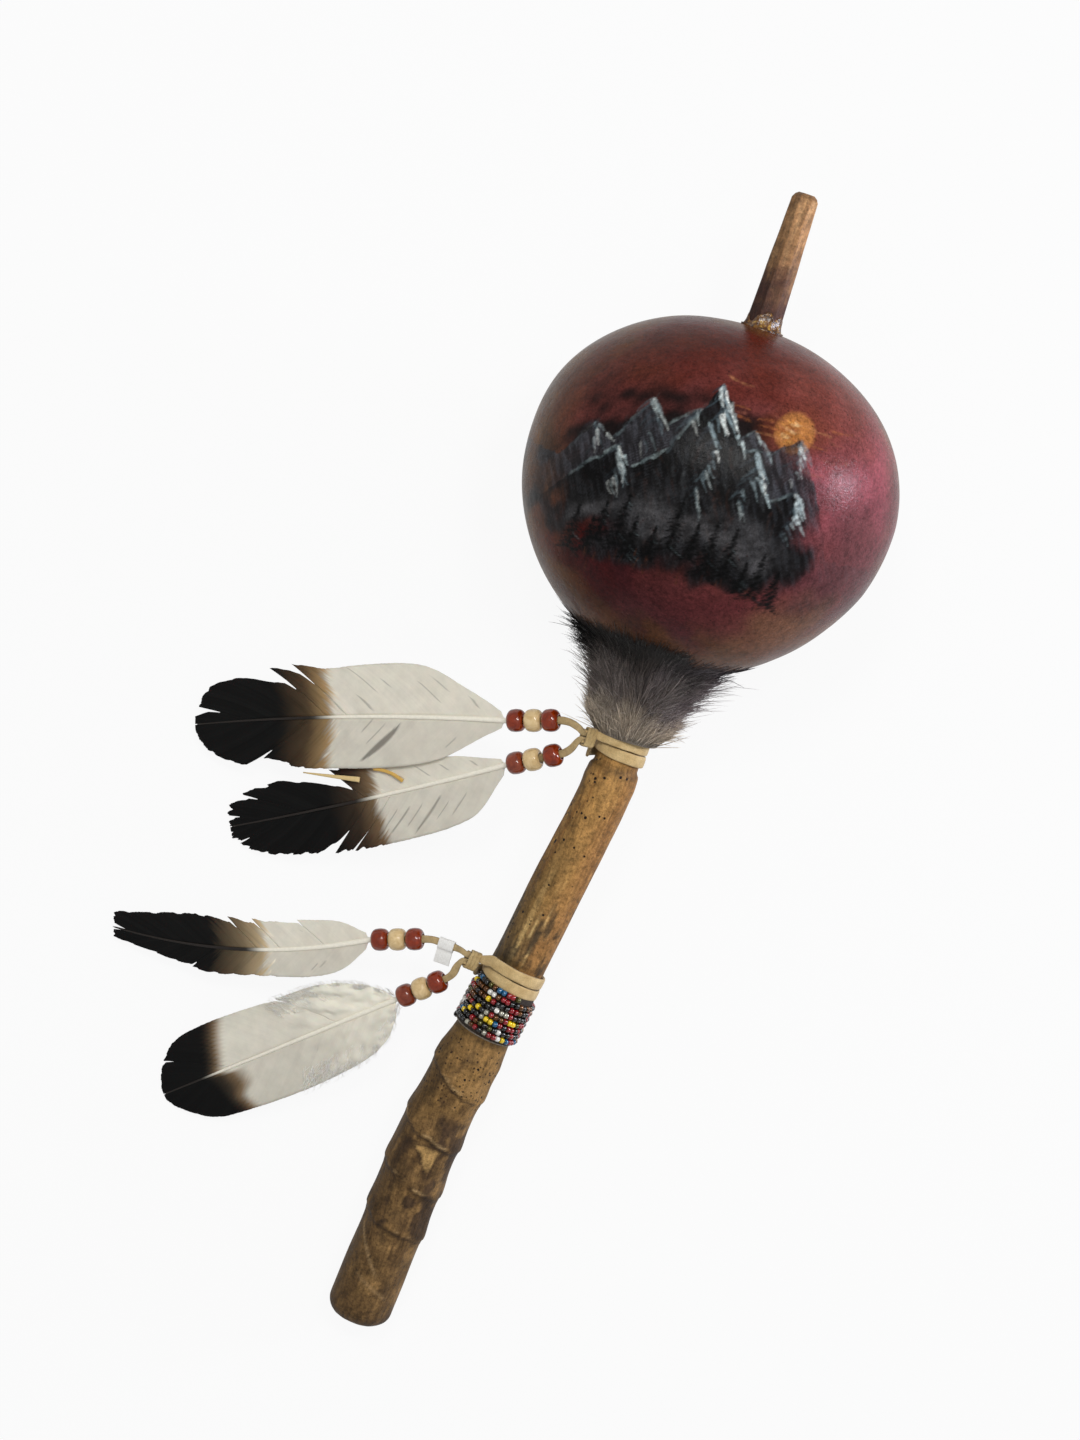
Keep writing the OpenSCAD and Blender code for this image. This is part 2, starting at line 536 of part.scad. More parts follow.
// pebbles in two rows on the lowest part of the wall, each a touch clear of it
module pebbles(g) {
    color([0.5, 0.47, 0.42]) along_stick() for (row = [0, 1], n = [0:pebbles_in_row - 1]) {
        r = mix(pebble_r[0], pebble_r[1], (3 * n + 5 * row + 2 * g) % 7 / 6);
        t = pebble_at[g] + (row - 0.5) * pebble_row;
        away = inner_r(t) - (r + fit) * sqrt(1 + pow(inner_slope(t), 2));
        turn = 90 + (n - (pebbles_in_row - 1) / 2 + 0.3 * row) * 2 * asin((pebble_r[1] + fit) / away);
        translate([away * cos(turn), away * sin(turn), t]) sphere(r = r);
    }
}

gourd_shell();
handle_stick();
tip_glue();
neck_glue();
fur_cuff();
thong(0);  // upper_thong
lashing(0);  // upper_lashing
thong(1);  // lower_thong
lashing(1);  // lower_lashing
bead_band();
paper_tag();
for (i = [0:3]) {
    lace(i);
    for (j = [0:2])
        crow_bead(i, j);
    feather(i);
}
for (g = [0:2])
    pebbles(g);

union() {
    echo(tilt = tilt, gourd_at = gourd_at, butt_seat = to_table(butt_seat),
        butt_end = to_table(stretch_3 + handle_len[2] * down(3)), butt_way = to_table(down(3)) - to_table([0, 0, 0]));
    echo(exits = [for (i = [0:3]) exit_of(i)], slopes = [for (i = [0:3]) pendant_slope(i)]);
    echo(least_gap_thong = [least_gap(thong_rings(0), 12), least_gap(thong_rings(1), 12)]);
    echo(least_gap_lashing = [least_gap(lash_rings(0), 12), least_gap(lash_rings(1), 12)]);
    echo(least_gap_band = least_gap(band_rings, 12));
}
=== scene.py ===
# Gourd rattle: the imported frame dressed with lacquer, fur, leather, beads and feathers
import math

import bpy
import numpy as np
from mathutils import Matrix


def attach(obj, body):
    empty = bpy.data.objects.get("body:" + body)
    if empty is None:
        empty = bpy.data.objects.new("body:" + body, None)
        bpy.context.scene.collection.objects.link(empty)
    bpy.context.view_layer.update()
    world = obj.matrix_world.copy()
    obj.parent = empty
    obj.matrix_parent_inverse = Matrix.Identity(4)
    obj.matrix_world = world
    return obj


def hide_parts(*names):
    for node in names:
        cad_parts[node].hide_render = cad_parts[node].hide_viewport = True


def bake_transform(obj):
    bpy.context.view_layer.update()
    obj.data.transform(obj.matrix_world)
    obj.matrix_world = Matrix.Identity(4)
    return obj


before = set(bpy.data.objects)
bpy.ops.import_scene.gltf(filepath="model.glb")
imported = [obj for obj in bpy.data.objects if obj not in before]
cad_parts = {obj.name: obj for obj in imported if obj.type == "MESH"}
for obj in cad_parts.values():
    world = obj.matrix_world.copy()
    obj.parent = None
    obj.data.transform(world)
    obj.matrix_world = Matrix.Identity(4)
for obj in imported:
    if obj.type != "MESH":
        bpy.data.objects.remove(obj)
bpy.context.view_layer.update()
scene = bpy.context.scene
scene.view_settings.view_transform = "Standard"
print("frame loaded:", len(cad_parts), "nodes")

# camera straight above, turned so that the rattle leans to the right
overhead = {"place": (-0.0363, -0.1159, 1.2), "turn": 18.2, "lens": 67.8}
cameraData = bpy.data.cameras.new("overhead")
cameraData.lens = overhead["lens"]
cameraData.sensor_width = 36
camera = bpy.data.objects.new("overhead", cameraData)
camera.location = overhead["place"]
camera.rotation_euler = (0, 0, math.radians(overhead["turn"]))
scene.collection.objects.link(camera)
scene.camera = camera


# shared tools: all shapes are worked out in millimetres and put into the mesh in metres
def unit(v):
    return v / np.maximum(np.linalg.norm(v, axis=-1, keepdims=True), 1e-9)


def smoothStep(x, low=0.0, high=1.0):
    u = np.clip((x - low) / (high - low), 0, 1)
    return u * u * (3 - 2 * u)


def ripple(points, size, seed, octaves=3):
    # noise from -1 to 1: six seeded sine waves an octave, the first about size long
    gen = np.random.default_rng(seed)
    points = np.asarray(points, float)
    total = 0.0
    for k in range(octaves):
        ways = unit(gen.normal(size=(6, points.shape[-1]))) * (2 * math.pi * 1.9**k / size)
        total = total + np.sin(points @ ways.T + gen.uniform(0, 6.28, 6)).sum(-1) / (3.2 * 1.7**k)
    return np.clip(total, -1, 1)


def curveThrough(points, count):
    # natural cubic spline over the chord lengths, sampled evenly
    p = np.asarray(points, float)
    t = np.concatenate([[0], np.cumsum(np.linalg.norm(np.diff(p, axis=0), axis=1))])
    h = np.diff(t)
    n = len(p)
    k = np.arange(1, n - 1)
    a = np.eye(n)
    b = np.zeros_like(p)
    a[k, k - 1] = h[k - 1]
    a[k, k] = 2 * (h[k - 1] + h[k])
    a[k, k + 1] = h[k]
    b[k] = 6 * ((p[k + 1] - p[k]) / h[k][:, None] - (p[k] - p[k - 1]) / h[k - 1][:, None])
    m = np.linalg.solve(a, b)
    s = np.linspace(0, t[-1], count)
    i = np.clip(np.searchsorted(t, s, side="right") - 1, 0, n - 2)
    d = (s - t[i])[:, None]
    e = (t[i + 1] - s)[:, None]
    w = h[i][:, None]
    return (
        (m[i] * e**3 + m[i + 1] * d**3) / (6 * w) + (p[i] / w - m[i] * w / 6) * e
        + (p[i + 1] / w - m[i + 1] * w / 6) * d
    )


def along(values, path, count):
    # values given at a path's points, read at evenly spaced places of the spline through it
    t = np.concatenate([[0], np.cumsum(np.linalg.norm(np.diff(path, axis=0), axis=1))])
    s = np.linspace(0, t[-1], count)
    values = np.asarray(values, float)
    if values.ndim == 1:
        return np.interp(s, t, values)
    return np.stack([np.interp(s, t, values[:, k]) for k in range(values.shape[1])], -1)


def rounded(count, squareness=0.5):
    # superellipse of half size 1: cos and sin drawn towards a square by the power
    a = np.arange(count) * 2 * math.pi / count + math.pi / count
    c = np.cos(a)
    s = np.sin(a)
    return np.stack([np.sign(c) * np.abs(c) ** squareness, np.sign(s) * np.abs(s) ** squareness], -1)


def ringAngles(count):
    return np.linspace(0, 2 * math.pi, count, endpoint=False)


def sweep(path, outward, section):
    # rings of path + a * side + b * out, with side across the path and out nearest the outward way
    way = unit(np.gradient(path, axis=0))
    side = unit(np.cross(way, outward))
    out = np.cross(side, way)
    section = np.broadcast_to(section, (len(path),) + section.shape[-2:])
    return path[:, None] + section[..., :1] * side[:, None] + section[..., 1:] * out[:, None]


def gridFaces(rows, columns, closeRows=False, closeColumns=False):
    i, j = np.meshgrid(
        np.arange(rows if closeRows else rows - 1), np.arange(columns if closeColumns else columns - 1),
        indexing="ij",
    )
    a = i * columns + j
    b = i * columns + (j + 1) % columns
    c = (i + 1) % rows * columns + (j + 1) % columns
    d = (i + 1) % rows * columns + j
    return np.stack([a, b, c, d], -1).reshape(-1, 4)


def addPiece(name, points, faceSets, smooth=True):
    # closed mesh from points in millimetres; the sign of its volume turns all faces outwards
    points = np.asarray(points, float).reshape(-1, 3)
    middle = points.mean(0)
    volume = 0.0
    for f in faceSets:
        q = points - middle
        for k in range(1, f.shape[1] - 1):
            volume += np.einsum("ij,ij->i", q[f[:, 0]], np.cross(q[f[:, k]], q[f[:, k + 1]])).sum()
    if volume < 0:
        faceSets = [f[:, ::-1] for f in faceSets]
    corners = np.concatenate([f.ravel() for f in faceSets]).astype(np.int32)
    sizes = np.concatenate([np.full(len(f), f.shape[1]) for f in faceSets])
    mesh = bpy.data.meshes.new(name)
    mesh.vertices.add(len(points))
    mesh.vertices.foreach_set("co", (points * 0.001).astype(np.float32).ravel())
    mesh.loops.add(len(corners))
    mesh.loops.foreach_set("vertex_index", corners)
    mesh.polygons.add(len(sizes))
    mesh.polygons.foreach_set("loop_start", (np.cumsum(sizes) - sizes).astype(np.int32))
    mesh.polygons.foreach_set("use_smooth", np.full(len(sizes), smooth))
    mesh.update(calc_edges=True)
    mesh.validate()
    piece = bpy.data.objects.new(name, mesh)
    scene.collection.objects.link(piece)
    return piece


def addTube(name, rings, smooth=True):
    # rings closed around, with a fan of triangles to the middle of each end
    n, m = rings.shape[:2]
    points = np.concatenate([rings.reshape(-1, 3), rings[[0, -1]].mean(1)])
    j = np.arange(m)
    k = (j + 1) % m
    last = (n - 1) * m
    caps = np.concatenate([
        np.stack([k, j, np.full(m, n * m)], -1),
        np.stack([last + j, last + k, np.full(m, n * m + 1)], -1),
    ])
    return addPiece(name, points, [gridFaces(n, m, closeColumns=True), caps], smooth)


def strandPoints(spine, outward, thick, spin):
    # rings of three points along each strand's spine, drawn together in one point at its end
    last = spine.shape[1] - 1
    way = unit(np.gradient(spine, axis=1))
    side = unit(np.cross(way, outward))
    up = np.cross(side, way)
    a = np.arange(3) * 2 * math.pi / 3 + spin
    across = np.cos(a)[:, None] * side[:, :last, None] + np.sin(a)[:, None] * up[:, :last, None]
    rings = spine[:, :last, None] + thick[:, :last, None, None] * across
    return np.concatenate([rings.reshape(len(spine), 3 * last, 3), spine[:, last:]], 1)


def strandFaces(last, count):
    # sides of last rings, a fan to the end point and a root triangle, for each of count strands
    n = 3 * last
    shift = (np.arange(count) * (n + 1))[:, None, None]
    sides = gridFaces(last, 3, closeColumns=True)
    ends = np.array([[n - 3, n - 2, n], [n - 2, n - 1, n], [n - 1, n - 3, n], [1, 0, 2]])
    return [(sides + shift).reshape(-1, 4), (ends + shift).reshape(-1, 3)]


def paintPoints(piece, name, values):
    # a colour (n, 3) or a number (n) at each point of a piece, as an attribute for its material
    values = np.asarray(values, np.float32)
    if values.ndim == 1:
        piece.data.attributes.new(name, "FLOAT", "POINT").data.foreach_set("value", values)
        return
    colours = np.ones((len(values), 4), np.float32)
    colours[:, :3] = np.clip(values, 0, 1)
    piece.data.attributes.new(name, "FLOAT_COLOR", "POINT").data.foreach_set("color", colours.ravel())


def srgb(*c):
    # 0 to 255 screen colour to linear
    c = np.array(c, float) / 255
    return np.where(c <= 0.04045, c / 12.92, ((c + 0.055) / 1.055) ** 2.4)


def rgba(*c):
    return (*[float(v) for v in srgb(*c)], 1.0)


def dress(piece, material, body, slot, *nodes):
    # finish and body of a piece, and the frame's nodes that it stands for; slot is not used
    piece.data.materials.append(material)
    if body:
        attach(piece, body)
    if nodes:
        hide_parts(*nodes)
    return piece


# shared tools for materials
def newFinish(name, sockets):
    material = bpy.data.materials.new(name)
    material.use_nodes = True
    shader = material.node_tree.nodes["Principled BSDF"]
    for key, value in sockets.items():
        shader.inputs[key].default_value = value
    return material, material.node_tree, shader


def node(tree, kind, inputs, **settings):
    made = tree.nodes.new(kind)
    for key, value in settings.items():
        setattr(made, key, value)
    for key, value in inputs.items():
        if isinstance(value, bpy.types.NodeSocket):
            tree.links.new(value, made.inputs[key])
        else:
            made.inputs[key].default_value = value
    return made


def objectPlace(tree, scale=(1000, 1000, 1000), turn=(0, 0, 0), shift=(0, 0, 0)):
    coords = tree.nodes.new("ShaderNodeTexCoord")
    return node(
        tree, "ShaderNodeMapping",
        {"Vector": coords.outputs["Object"], "Scale": scale, "Rotation": turn, "Location": shift},
    ).outputs[0]


def noiseOf(tree, place, scale, detail=3.0, roughness=0.55, distortion=0.0):
    return node(
        tree, "ShaderNodeTexNoise",
        {
            "Vector": place, "Scale": scale, "Detail": detail, "Roughness": roughness,
            "Distortion": distortion,
        },
    ).outputs["Fac"]


def cellsOf(tree, place, scale):
    return node(
        tree, "ShaderNodeTexVoronoi", {"Vector": place, "Scale": scale, "Randomness": 1.0},
    ).outputs["Distance"]


def rampOf(tree, fac, *stops):
    made = node(tree, "ShaderNodeValToRGB", {"Fac": fac})
    ramp = made.color_ramp
    while len(ramp.elements) < len(stops):
        ramp.elements.new(0.5)
    for element, (place, value) in zip(ramp.elements, stops):
        element.position = place
        element.color = value if isinstance(value, tuple) else (value, value, value, 1)
    return made.outputs["Color"]


def mixOf(tree, fac, a, b, blend="MIX"):
    made = tree.nodes.new("ShaderNodeMix")
    made.data_type = "RGBA"
    made.blend_type = blend
    for key, value in ((0, fac), (6, a), (7, b)):
        if isinstance(value, bpy.types.NodeSocket):
            tree.links.new(value, made.inputs[key])
        else:
            made.inputs[key].default_value = value
    return made.outputs[2]


def sumOf(tree, operation, a, b):
    return node(tree, "ShaderNodeMath", {0: a, 1: b}, operation=operation).outputs[0]


def bumpOf(tree, height, strength, distance):
    return node(
        tree, "ShaderNodeBump", {"Height": height, "Strength": strength, "Distance": distance},
    ).outputs["Normal"]


def attributeOf(tree, name, output="Color"):
    return node(tree, "ShaderNodeAttribute", {}, attribute_name=name).outputs[output]


# where things are: the gourd's own frame (y up the stick, z up) and the handle's four stretches
stance = {
    "tilt": math.radians(9.3132),
    "gourdAt": np.array([0.0, 0.810595, 76.8665]),
    "leans": np.radians([0, 8.1, 9.3, 3.7]),
    "lengths": [134.122, 102.5, 68.6, 92.0],
}


def toTable(p):
    # turned by the tilt about x and set over the ground spot
    p = np.asarray(p, float)
    c = math.cos(stance["tilt"])
    s = math.sin(stance["tilt"])
    turned = np.stack([p[..., 0], p[..., 1] * c - p[..., 2] * s, p[..., 1] * s + p[..., 2] * c], -1)
    return stance["gourdAt"] + turned


downWays = np.stack([-np.sin(stance["leans"]), -np.cos(stance["leans"]), 0 * stance["leans"]], -1)
stretchStarts = np.concatenate([
    [[0, 0, 0]], np.cumsum(downWays[:3] * np.array(stance["lengths"][:3])[:, None], axis=0),
])


def onStretch(i, s, q):
    # a point of stretch i: q is right, up and down the handle from the place s
    q = np.asarray(q, float)
    c = math.cos(stance["leans"][i])
    n = math.sin(stance["leans"][i])
    offset = np.stack([q[..., 0] * c - q[..., 2] * n, -q[..., 0] * n - q[..., 2] * c, q[..., 1]], -1)
    return stretchStarts[i] + s * downWays[i] + offset


pendants = {
    "exits": np.array([
        [-17.8432, -115.179, 68.2843], [-17.8432, -118.239, 67.7826], [-35.0741, -220.229, 46.6452],
        [-35.5109, -223.258, 46.1485],
    ]),
    "slopes": np.radians([19.8824, 22.4019, 14.7319, 16.4872]),
    "headings": np.radians([18.5, 30, 20, 42]), "shift": [5, -4.4, 6.5, -4.4],
    "firstBead": [14, 13.5, 22.6, 14.6], "slip": [0, 1.6, 0, 0], "beadStep": 7.75,
}


def onPendant(i, p):
    # x runs out along the pendant, y towards the gourd, z up
    c = math.cos(pendants["slopes"][i])
    s = math.sin(pendants["slopes"][i])
    ch = math.cos(pendants["headings"][i])
    sh = math.sin(pendants["headings"][i])
    axes = np.array([[-c * ch, -c * sh, -s], [-sh, ch, 0], [-s * ch, -s * sh, c]])
    return pendants["exits"][i] + np.asarray(p, float) @ axes


def beadPlace(i, j):
    return pendants["firstBead"][i] + j * pendants["beadStep"] + (pendants["slip"][i] if j > 0 else 0)


# lashing frame of a thong: x out through the lashing's far side, y up, z down the handle
thongs = {
    "stretch": [0, 1],
    "at": [119.4, 94.5],
    "mid": [10.55, 12.65],
    "knotIn": [14.554, 16.932],
    "knotOut": [19.854, 22.232],
    "lift": np.radians([30, 15]),
    "knotUp": [2, 0],
    "width": 5.0,
    "thick": 1.5,
    "pinch": 2.6,
    "pinchZ": 1.55,
    "leave": math.radians(28),
    "climb": 2.3,
    "pitch": 5.5,
    "points": 300,
    "lashPoints": 220,
}


def onWrap(k, q):
    q = np.asarray(q, float)
    c = math.cos(thongs["lift"][k])
    s = math.sin(thongs["lift"][k])
    turned = np.stack([q[..., 0] * c + q[..., 1] * s, -q[..., 0] * s + q[..., 1] * c, q[..., 2]], -1)
    return toTable(onStretch(thongs["stretch"][k], thongs["at"][k], turned))


# leather for laces, wraps and lashings: grain, pores, darker worn edges
def leatherFinish(name, pale, dark, seed):
    material, tree, shader = newFinish(
        name,
        {"Roughness": 0.72, "Specular IOR Level": 0.3, "Sheen Weight": 0.15, "Sheen Roughness": 0.5},
    )
    place = objectPlace(tree, shift=(seed * 3.1, seed * 1.7, 0))
    patches = noiseOf(tree, place, 0.22, 4)
    grain = noiseOf(tree, place, 2.2, 5, 0.65)
    colour = mixOf(tree, rampOf(tree, patches, (0.35, 0.0), (0.68, 1.0)), rgba(*pale), rgba(*dark))
    fibres = rampOf(tree, grain, (0.3, 0.74), (0.62, 1.06))
    colour = mixOf(tree, 1.0, colour, fibres, "MULTIPLY")
    edge = attributeOf(tree, "edge", "Fac")
    colour = mixOf(tree, edge, colour, rgba(*[0.62 * v for v in dark]))
    tree.links.new(colour, shader.inputs["Base Color"])
    tree.links.new(bumpOf(tree, grain, 0.5, 0.0004), shader.inputs["Normal"])
    return material


thongLeather = leatherFinish("thongLeather", (212, 184, 132), (186, 156, 104), 1)
lashLeather = leatherFinish("lashLeather", (200, 174, 124), (170, 142, 94), 2)
laceLeather = leatherFinish("laceLeather", (190, 164, 118), (156, 134, 94), 3)

# laces: the free ends of the thongs, out of the lashing and through three beads each
laces = {
    "width": 3.2, "thick": 1.5, "points": 72,
    "free": [
        [(0, 0), (1, 1.2), (2.2, 2.2), (3.5, 3.1), (5, 3.9), (6.4, 4.4), (8.2, 4.8), (10.2, 5)],
        [(0, 0), (1.1, -0.5), (2.2, -1.2), (3.6, -2.3), (5, -3.2), (6.7, -3.9), (8.2, -4.3), (9.8, -4.4)],
        [
            (0, 0), (1.2, 0.9), (2.4, 1.7), (3.6, 2.3), (4.8, 2.8), (8.5, 4.15), (12.3, 5.5), (14.2, 6.1),
            (16.1, 6.4), (17.8, 6.5),
        ],
        [
            (0, 0), (1.4, -0.3), (2.8, -0.9), (3.9, -1.6), (5, -2.5), (6.4, -3.5), (8.1, -4.1),
            (10.1, -4.4),
        ],
    ],
}
stripSection = rounded(16, 0.42)
lacePieces = []
lacePaths = []
for i in range(4):
    free = [(x, y, 0) for x, y in laces["free"][i]]
    inBeads = [(beadPlace(i, j), pendants["shift"][i], 0) for j in range(3)]
    route = onPendant(i, np.array(free + inBeads))
    k = i // 2
    side = -1 if i % 2 == 0 else 1
    knotAt = [-thongs["knotOut"][k] + 0.9, 0, side * thongs["pinchZ"] - thongs["knotUp"][k]]
    route = np.concatenate([onWrap(k, np.array([knotAt])), route])
    path = curveThrough(route, laces["points"])
    reach = np.linspace(0, 1, len(path))
    widths = laces["width"] * np.interp(reach, [0, 0.06, 0.2, 1], [0.72, 0.74, 1, 1])
    widths = widths * (1 + 0.05 * np.sin(reach * 21 + i))
    halves = np.stack([widths / 2, np.full(len(path), laces["thick"] / 2)], -1)
    section = stripSection[None] * halves[:, None]
    up = np.broadcast_to(onPendant(i, (0, 0, 1)) - onPendant(i, (0, 0, 0)), path.shape)
    lace = addTube(f"lace{i + 1}", sweep(path, up, section))
    edges = np.abs(np.tile(stripSection[:, 0], len(path))) > 0.97
    paintPoints(lace, "edge", np.concatenate([0.35 * edges, [0.3, 0.3]]))
    dress(lace, laceLeather, None, "leather", f"lace_{i + 1}")
    lacePieces.append(lace)
    lacePaths.append(path)
print("laces done")

# crow beads: barrels with a bore, brown, cream, brown on each lace
crowBeads = {"outside": 9.5, "long": 7.4, "bore": 4.4, "round": 2.5, "around": 44}
beadColours = {
    "brown": [(142, 46, 3), (114, 33, 1)],
    "mauve": [(140, 62, 34), (114, 44, 22)],
    "cream": [(230, 202, 152), (206, 174, 120)],
}


def beadFinish(name, pale, dark):
    material, tree, shader = newFinish(
        name,
        {"Roughness": 0.08, "Specular IOR Level": 0.5, "Coat Weight": 0.5, "Coat Roughness": 0.02},
    )
    place = objectPlace(tree)
    swirl = noiseOf(tree, place, 0.25, 4, 0.6, 1.2)
    colour = mixOf(tree, rampOf(tree, swirl, (0.38, 0.0), (0.66, 1.0)), rgba(*pale), rgba(*dark))
    tree.links.new(colour, shader.inputs["Base Color"])
    smears = rampOf(tree, noiseOf(tree, place, 0.6, 3), (0.4, 0.03), (0.75, 0.07))
    tree.links.new(smears, shader.inputs["Roughness"])
    tree.links.new(bumpOf(tree, noiseOf(tree, place, 0.35, 2), 0.04, 0.0006), shader.inputs["Normal"])
    return material


beadFinishes = {key: beadFinish(key + "Bead", *value) for key, value in beadColours.items()}


def crowBead(i, j):
    # barrel section turned about the lace: bore wall, two rounded ends, swollen side
    half = crowBeads["long"] / 2
    r = crowBeads["round"]
    mid = crowBeads["outside"] / 2 - r
    a = np.radians(np.linspace(0, 90, 9))
    bore = crowBeads["bore"] / 2
    side = np.linspace(-1, 1, 7)[1:-1]
    length = np.concatenate([
        -half + r * (1 - np.cos(a)), side * (half - r), half - r * (1 - np.sin(a)),
        [half * 0.97, half * 0.5, 0, -half * 0.5, -half * 0.97],
    ])
    reach = np.concatenate([
        mid + r * np.sin(a), mid + r + 0.12 * (1 - side**2), mid + r * np.cos(a),
        [bore + 0.12, bore, bore, bore, bore + 0.12],
    ])
    turn = ringAngles(crowBeads["around"])
    wobble = 1 + 0.008 * np.sin(2 * turn + i * 2 + j) + 0.006 * np.sin(3 * turn + 4 * j + i)
    outsideShare = smoothStep(reach, bore + 0.2, bore + 1.2)
    reach = reach[:, None] * (1 + outsideShare[:, None] * (wobble - 1)[None])
    local = np.stack([
        np.broadcast_to(length[:, None], reach.shape) + beadPlace(i, j),
        pendants["shift"][i] + reach * np.cos(turn), reach * np.sin(turn),
    ], -1)
    faces = gridFaces(len(length), len(turn), True, True)
    piece = addPiece(f"crowBead{i + 1}{'abc'[j]}", onPendant(i, local), [faces])
    kind = "cream" if j == 1 else "mauve" if (i, j) in ((3, 2), (1, 2)) else "brown"
    place = ["inner", "middle", "outer"][j]
    slot = "cream_bead" if j == 1 else "brown_bead"
    return dress(piece, beadFinishes[kind], f"pendant_{i + 1}", slot, f"bead_{i + 1}_{place}")


for i in range(4):
    beads = [crowBead(i, j) for j in range(3)]
    path = lacePaths[i] * 0.001
    length = float(np.linalg.norm(np.diff(path, axis=0), axis=1).sum())
    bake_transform(lacePieces[i])
print("crow beads done")

# thong wraps: two turns around the handle, ends drawn together in the lashing
for k, (name, lashName) in enumerate((("upper", "upper_lashing"), ("lower", "lower_lashing"))):
    mid = thongs["mid"][k]
    leave = thongs["leave"]
    angle = np.linspace(leave, 4 * math.pi - leave, 90)
    fromEnd = np.minimum(angle, 4 * math.pi - angle)
    lift = thongs["climb"] * smoothStep((math.radians(100) - fromEnd) / (math.radians(100) - leave))
    held = np.clip(angle, math.radians(45), math.radians(675))
    downHandle = thongs["pitch"] * (held / (2 * math.pi) - 1)
    turns = np.stack([-(mid + lift) * np.cos(angle), (mid + lift) * np.sin(angle), downHandle], -1)
    rise = mid + thongs["climb"]
    u = np.array([0.25, 0.5, 0.75, 1.0])
    v = np.array([0.33, 0.67, 1.0])
    leads = []
    for side in (-1, 1):
        across = side * thongs["pinchZ"] - thongs["knotUp"][k]
        startZ = -side * downHandle[0]
        lead = np.stack([
            -rise * math.cos(leave) * (1 - u) - thongs["knotIn"][k] * u,
            -side * rise * math.sin(leave) * (1 - u), startZ * (1 - u) + across * u,
        ], -1)
        end = np.stack([
            -thongs["knotIn"][k] * (1 - v) - (thongs["knotOut"][k] + 0.2) * v, 0 * v, across + 0 * v,
        ], -1)
        leads.append(np.concatenate([lead, end]))
    route = np.concatenate([leads[0][::-1], turns, leads[1]])
    outTurn = np.stack([-np.cos(angle), np.sin(angle), 0 * angle], -1)
    leadOut = np.array([[-math.cos(leave), math.sin(leave), 0]])
    outward = np.concatenate([
        np.repeat([[0.0, 1, 0]], 4, 0), np.repeat(leadOut, 3, 0), outTurn,
        np.repeat(leadOut * [1, -1, 1], 3, 0), np.repeat([[0.0, -1, 0]], 4, 0),
    ])
    widths = np.concatenate([
        np.full(4, thongs["pinch"]), [3.4, 4.3, 4.9], np.full(len(angle), thongs["width"]),
        [4.9, 4.3, 3.4], np.full(4, thongs["pinch"]),
    ])
    count = thongs["points"]
    path = curveThrough(route, count)
    outward = unit(along(outward, route, count))
    reach = np.linspace(0, 1, count)
    uneven = 1 + 0.03 * np.sin(reach * 34 + k) + 0.025 * np.sin(reach * 71)
    widths = along(widths, route, count) * uneven
    halves = np.stack([widths / 2, np.full(count, thongs["thick"] / 2)], -1)
    section = stripSection[None] * halves[:, None]
    section[..., 1] *= 1 - 0.16 * np.abs(stripSection[:, 0]) ** 3
    wrap = addTube(f"{name}Wrap", onWrap(k, sweep(path, outward, section)))
    edges = np.tile(np.abs(stripSection[:, 0]) > 0.97, count)
    paintPoints(wrap, "edge", np.concatenate([0.5 * edges, [0.3, 0.3]]))
    dress(wrap, thongLeather, "rattle", "leather", f"{name}_thong")

    # lashing: a flat strand wound square around the two ends
    n = np.arange(12, 85)
    corner = n // 6 % 4
    a = np.radians(90 * corner + 18 * (n % 6))
    turnWay = np.stack([0 * a, np.cos(a), np.sin(a)], -1)
    ySide = np.where((corner == 0) | (corner == 3), 0.75, -0.75)
    zSide = np.where(corner < 2, 2.85, -2.85) - thongs["knotUp"][k]
    out = thongs["knotIn"][k] - 0.15 + 1.6 * (n - 12) / 24
    spine = np.stack([-out, ySide, zSide], -1) + 0.85 * turnWay
    count = thongs["lashPoints"]
    path = curveThrough(spine, count)
    outward = unit(along(turnWay, spine, count))
    strand = rounded(12, 0.6) * np.array([0.88, 0.5])
    lash = addTube(f"{name}Lash", onWrap(k, sweep(path, outward, strand)))
    edges = np.tile(np.abs(strand[:, 0]) > 0.8, count)
    paintPoints(lash, "edge", np.concatenate([0.45 * edges, [0.3, 0.3]]))
    dress(lash, lashLeather, "rattle", "leather", lashName)
print("wraps done")

# seed beads: one thread wound down the handle, small glass rings of mixed colours
seedBeads = {
    "from": 2.15, "early": 3.2, "reach": 13.75, "pitch": 2.75, "turns": 5.75, "apart": 2.24, "long": 1.06,
    "hole": 0.36, "outside": 1.32, "seed": 11,
}
seedColours = [
    ((13, 11, 10), 0.3, 0), ((188, 184, 168), 0.1, 1), ((142, 14, 22), 0.21, 0),
    ((238, 236, 228), 0.06, 0), ((240, 204, 20), 0.065, 0), ((20, 88, 128), 0.04, 0),
    ((104, 62, 16), 0.16, 1), ((84, 80, 20), 0.065, 1),
]
gen = np.random.default_rng(seedBeads["seed"])
step = seedBeads["apart"] / seedBeads["reach"]
turn = np.arange(-seedBeads["early"] * 2 * math.pi, seedBeads["turns"] * 2 * math.pi, step)
fromUp = (turn + math.radians(75)) % (2 * math.pi)
wrapEdge = (
    thongs["at"][1] + thongs["pitch"] * np.minimum(fromUp, math.radians(315)) / (2 * math.pi)
    + thongs["width"] / 2 - stance["lengths"][1]
)
turn = turn[seedBeads["from"] + seedBeads["pitch"] * turn / (2 * math.pi) > wrapEdge + 0.8]
turn = turn + gen.normal(0, 0.012, len(turn))
spread = 1 + gen.normal(0, 0.035, len(turn))
radial = np.stack([np.sin(turn), np.cos(turn), 0 * turn], -1)
rowAt = seedBeads["from"] + seedBeads["pitch"] * turn / (2 * math.pi)
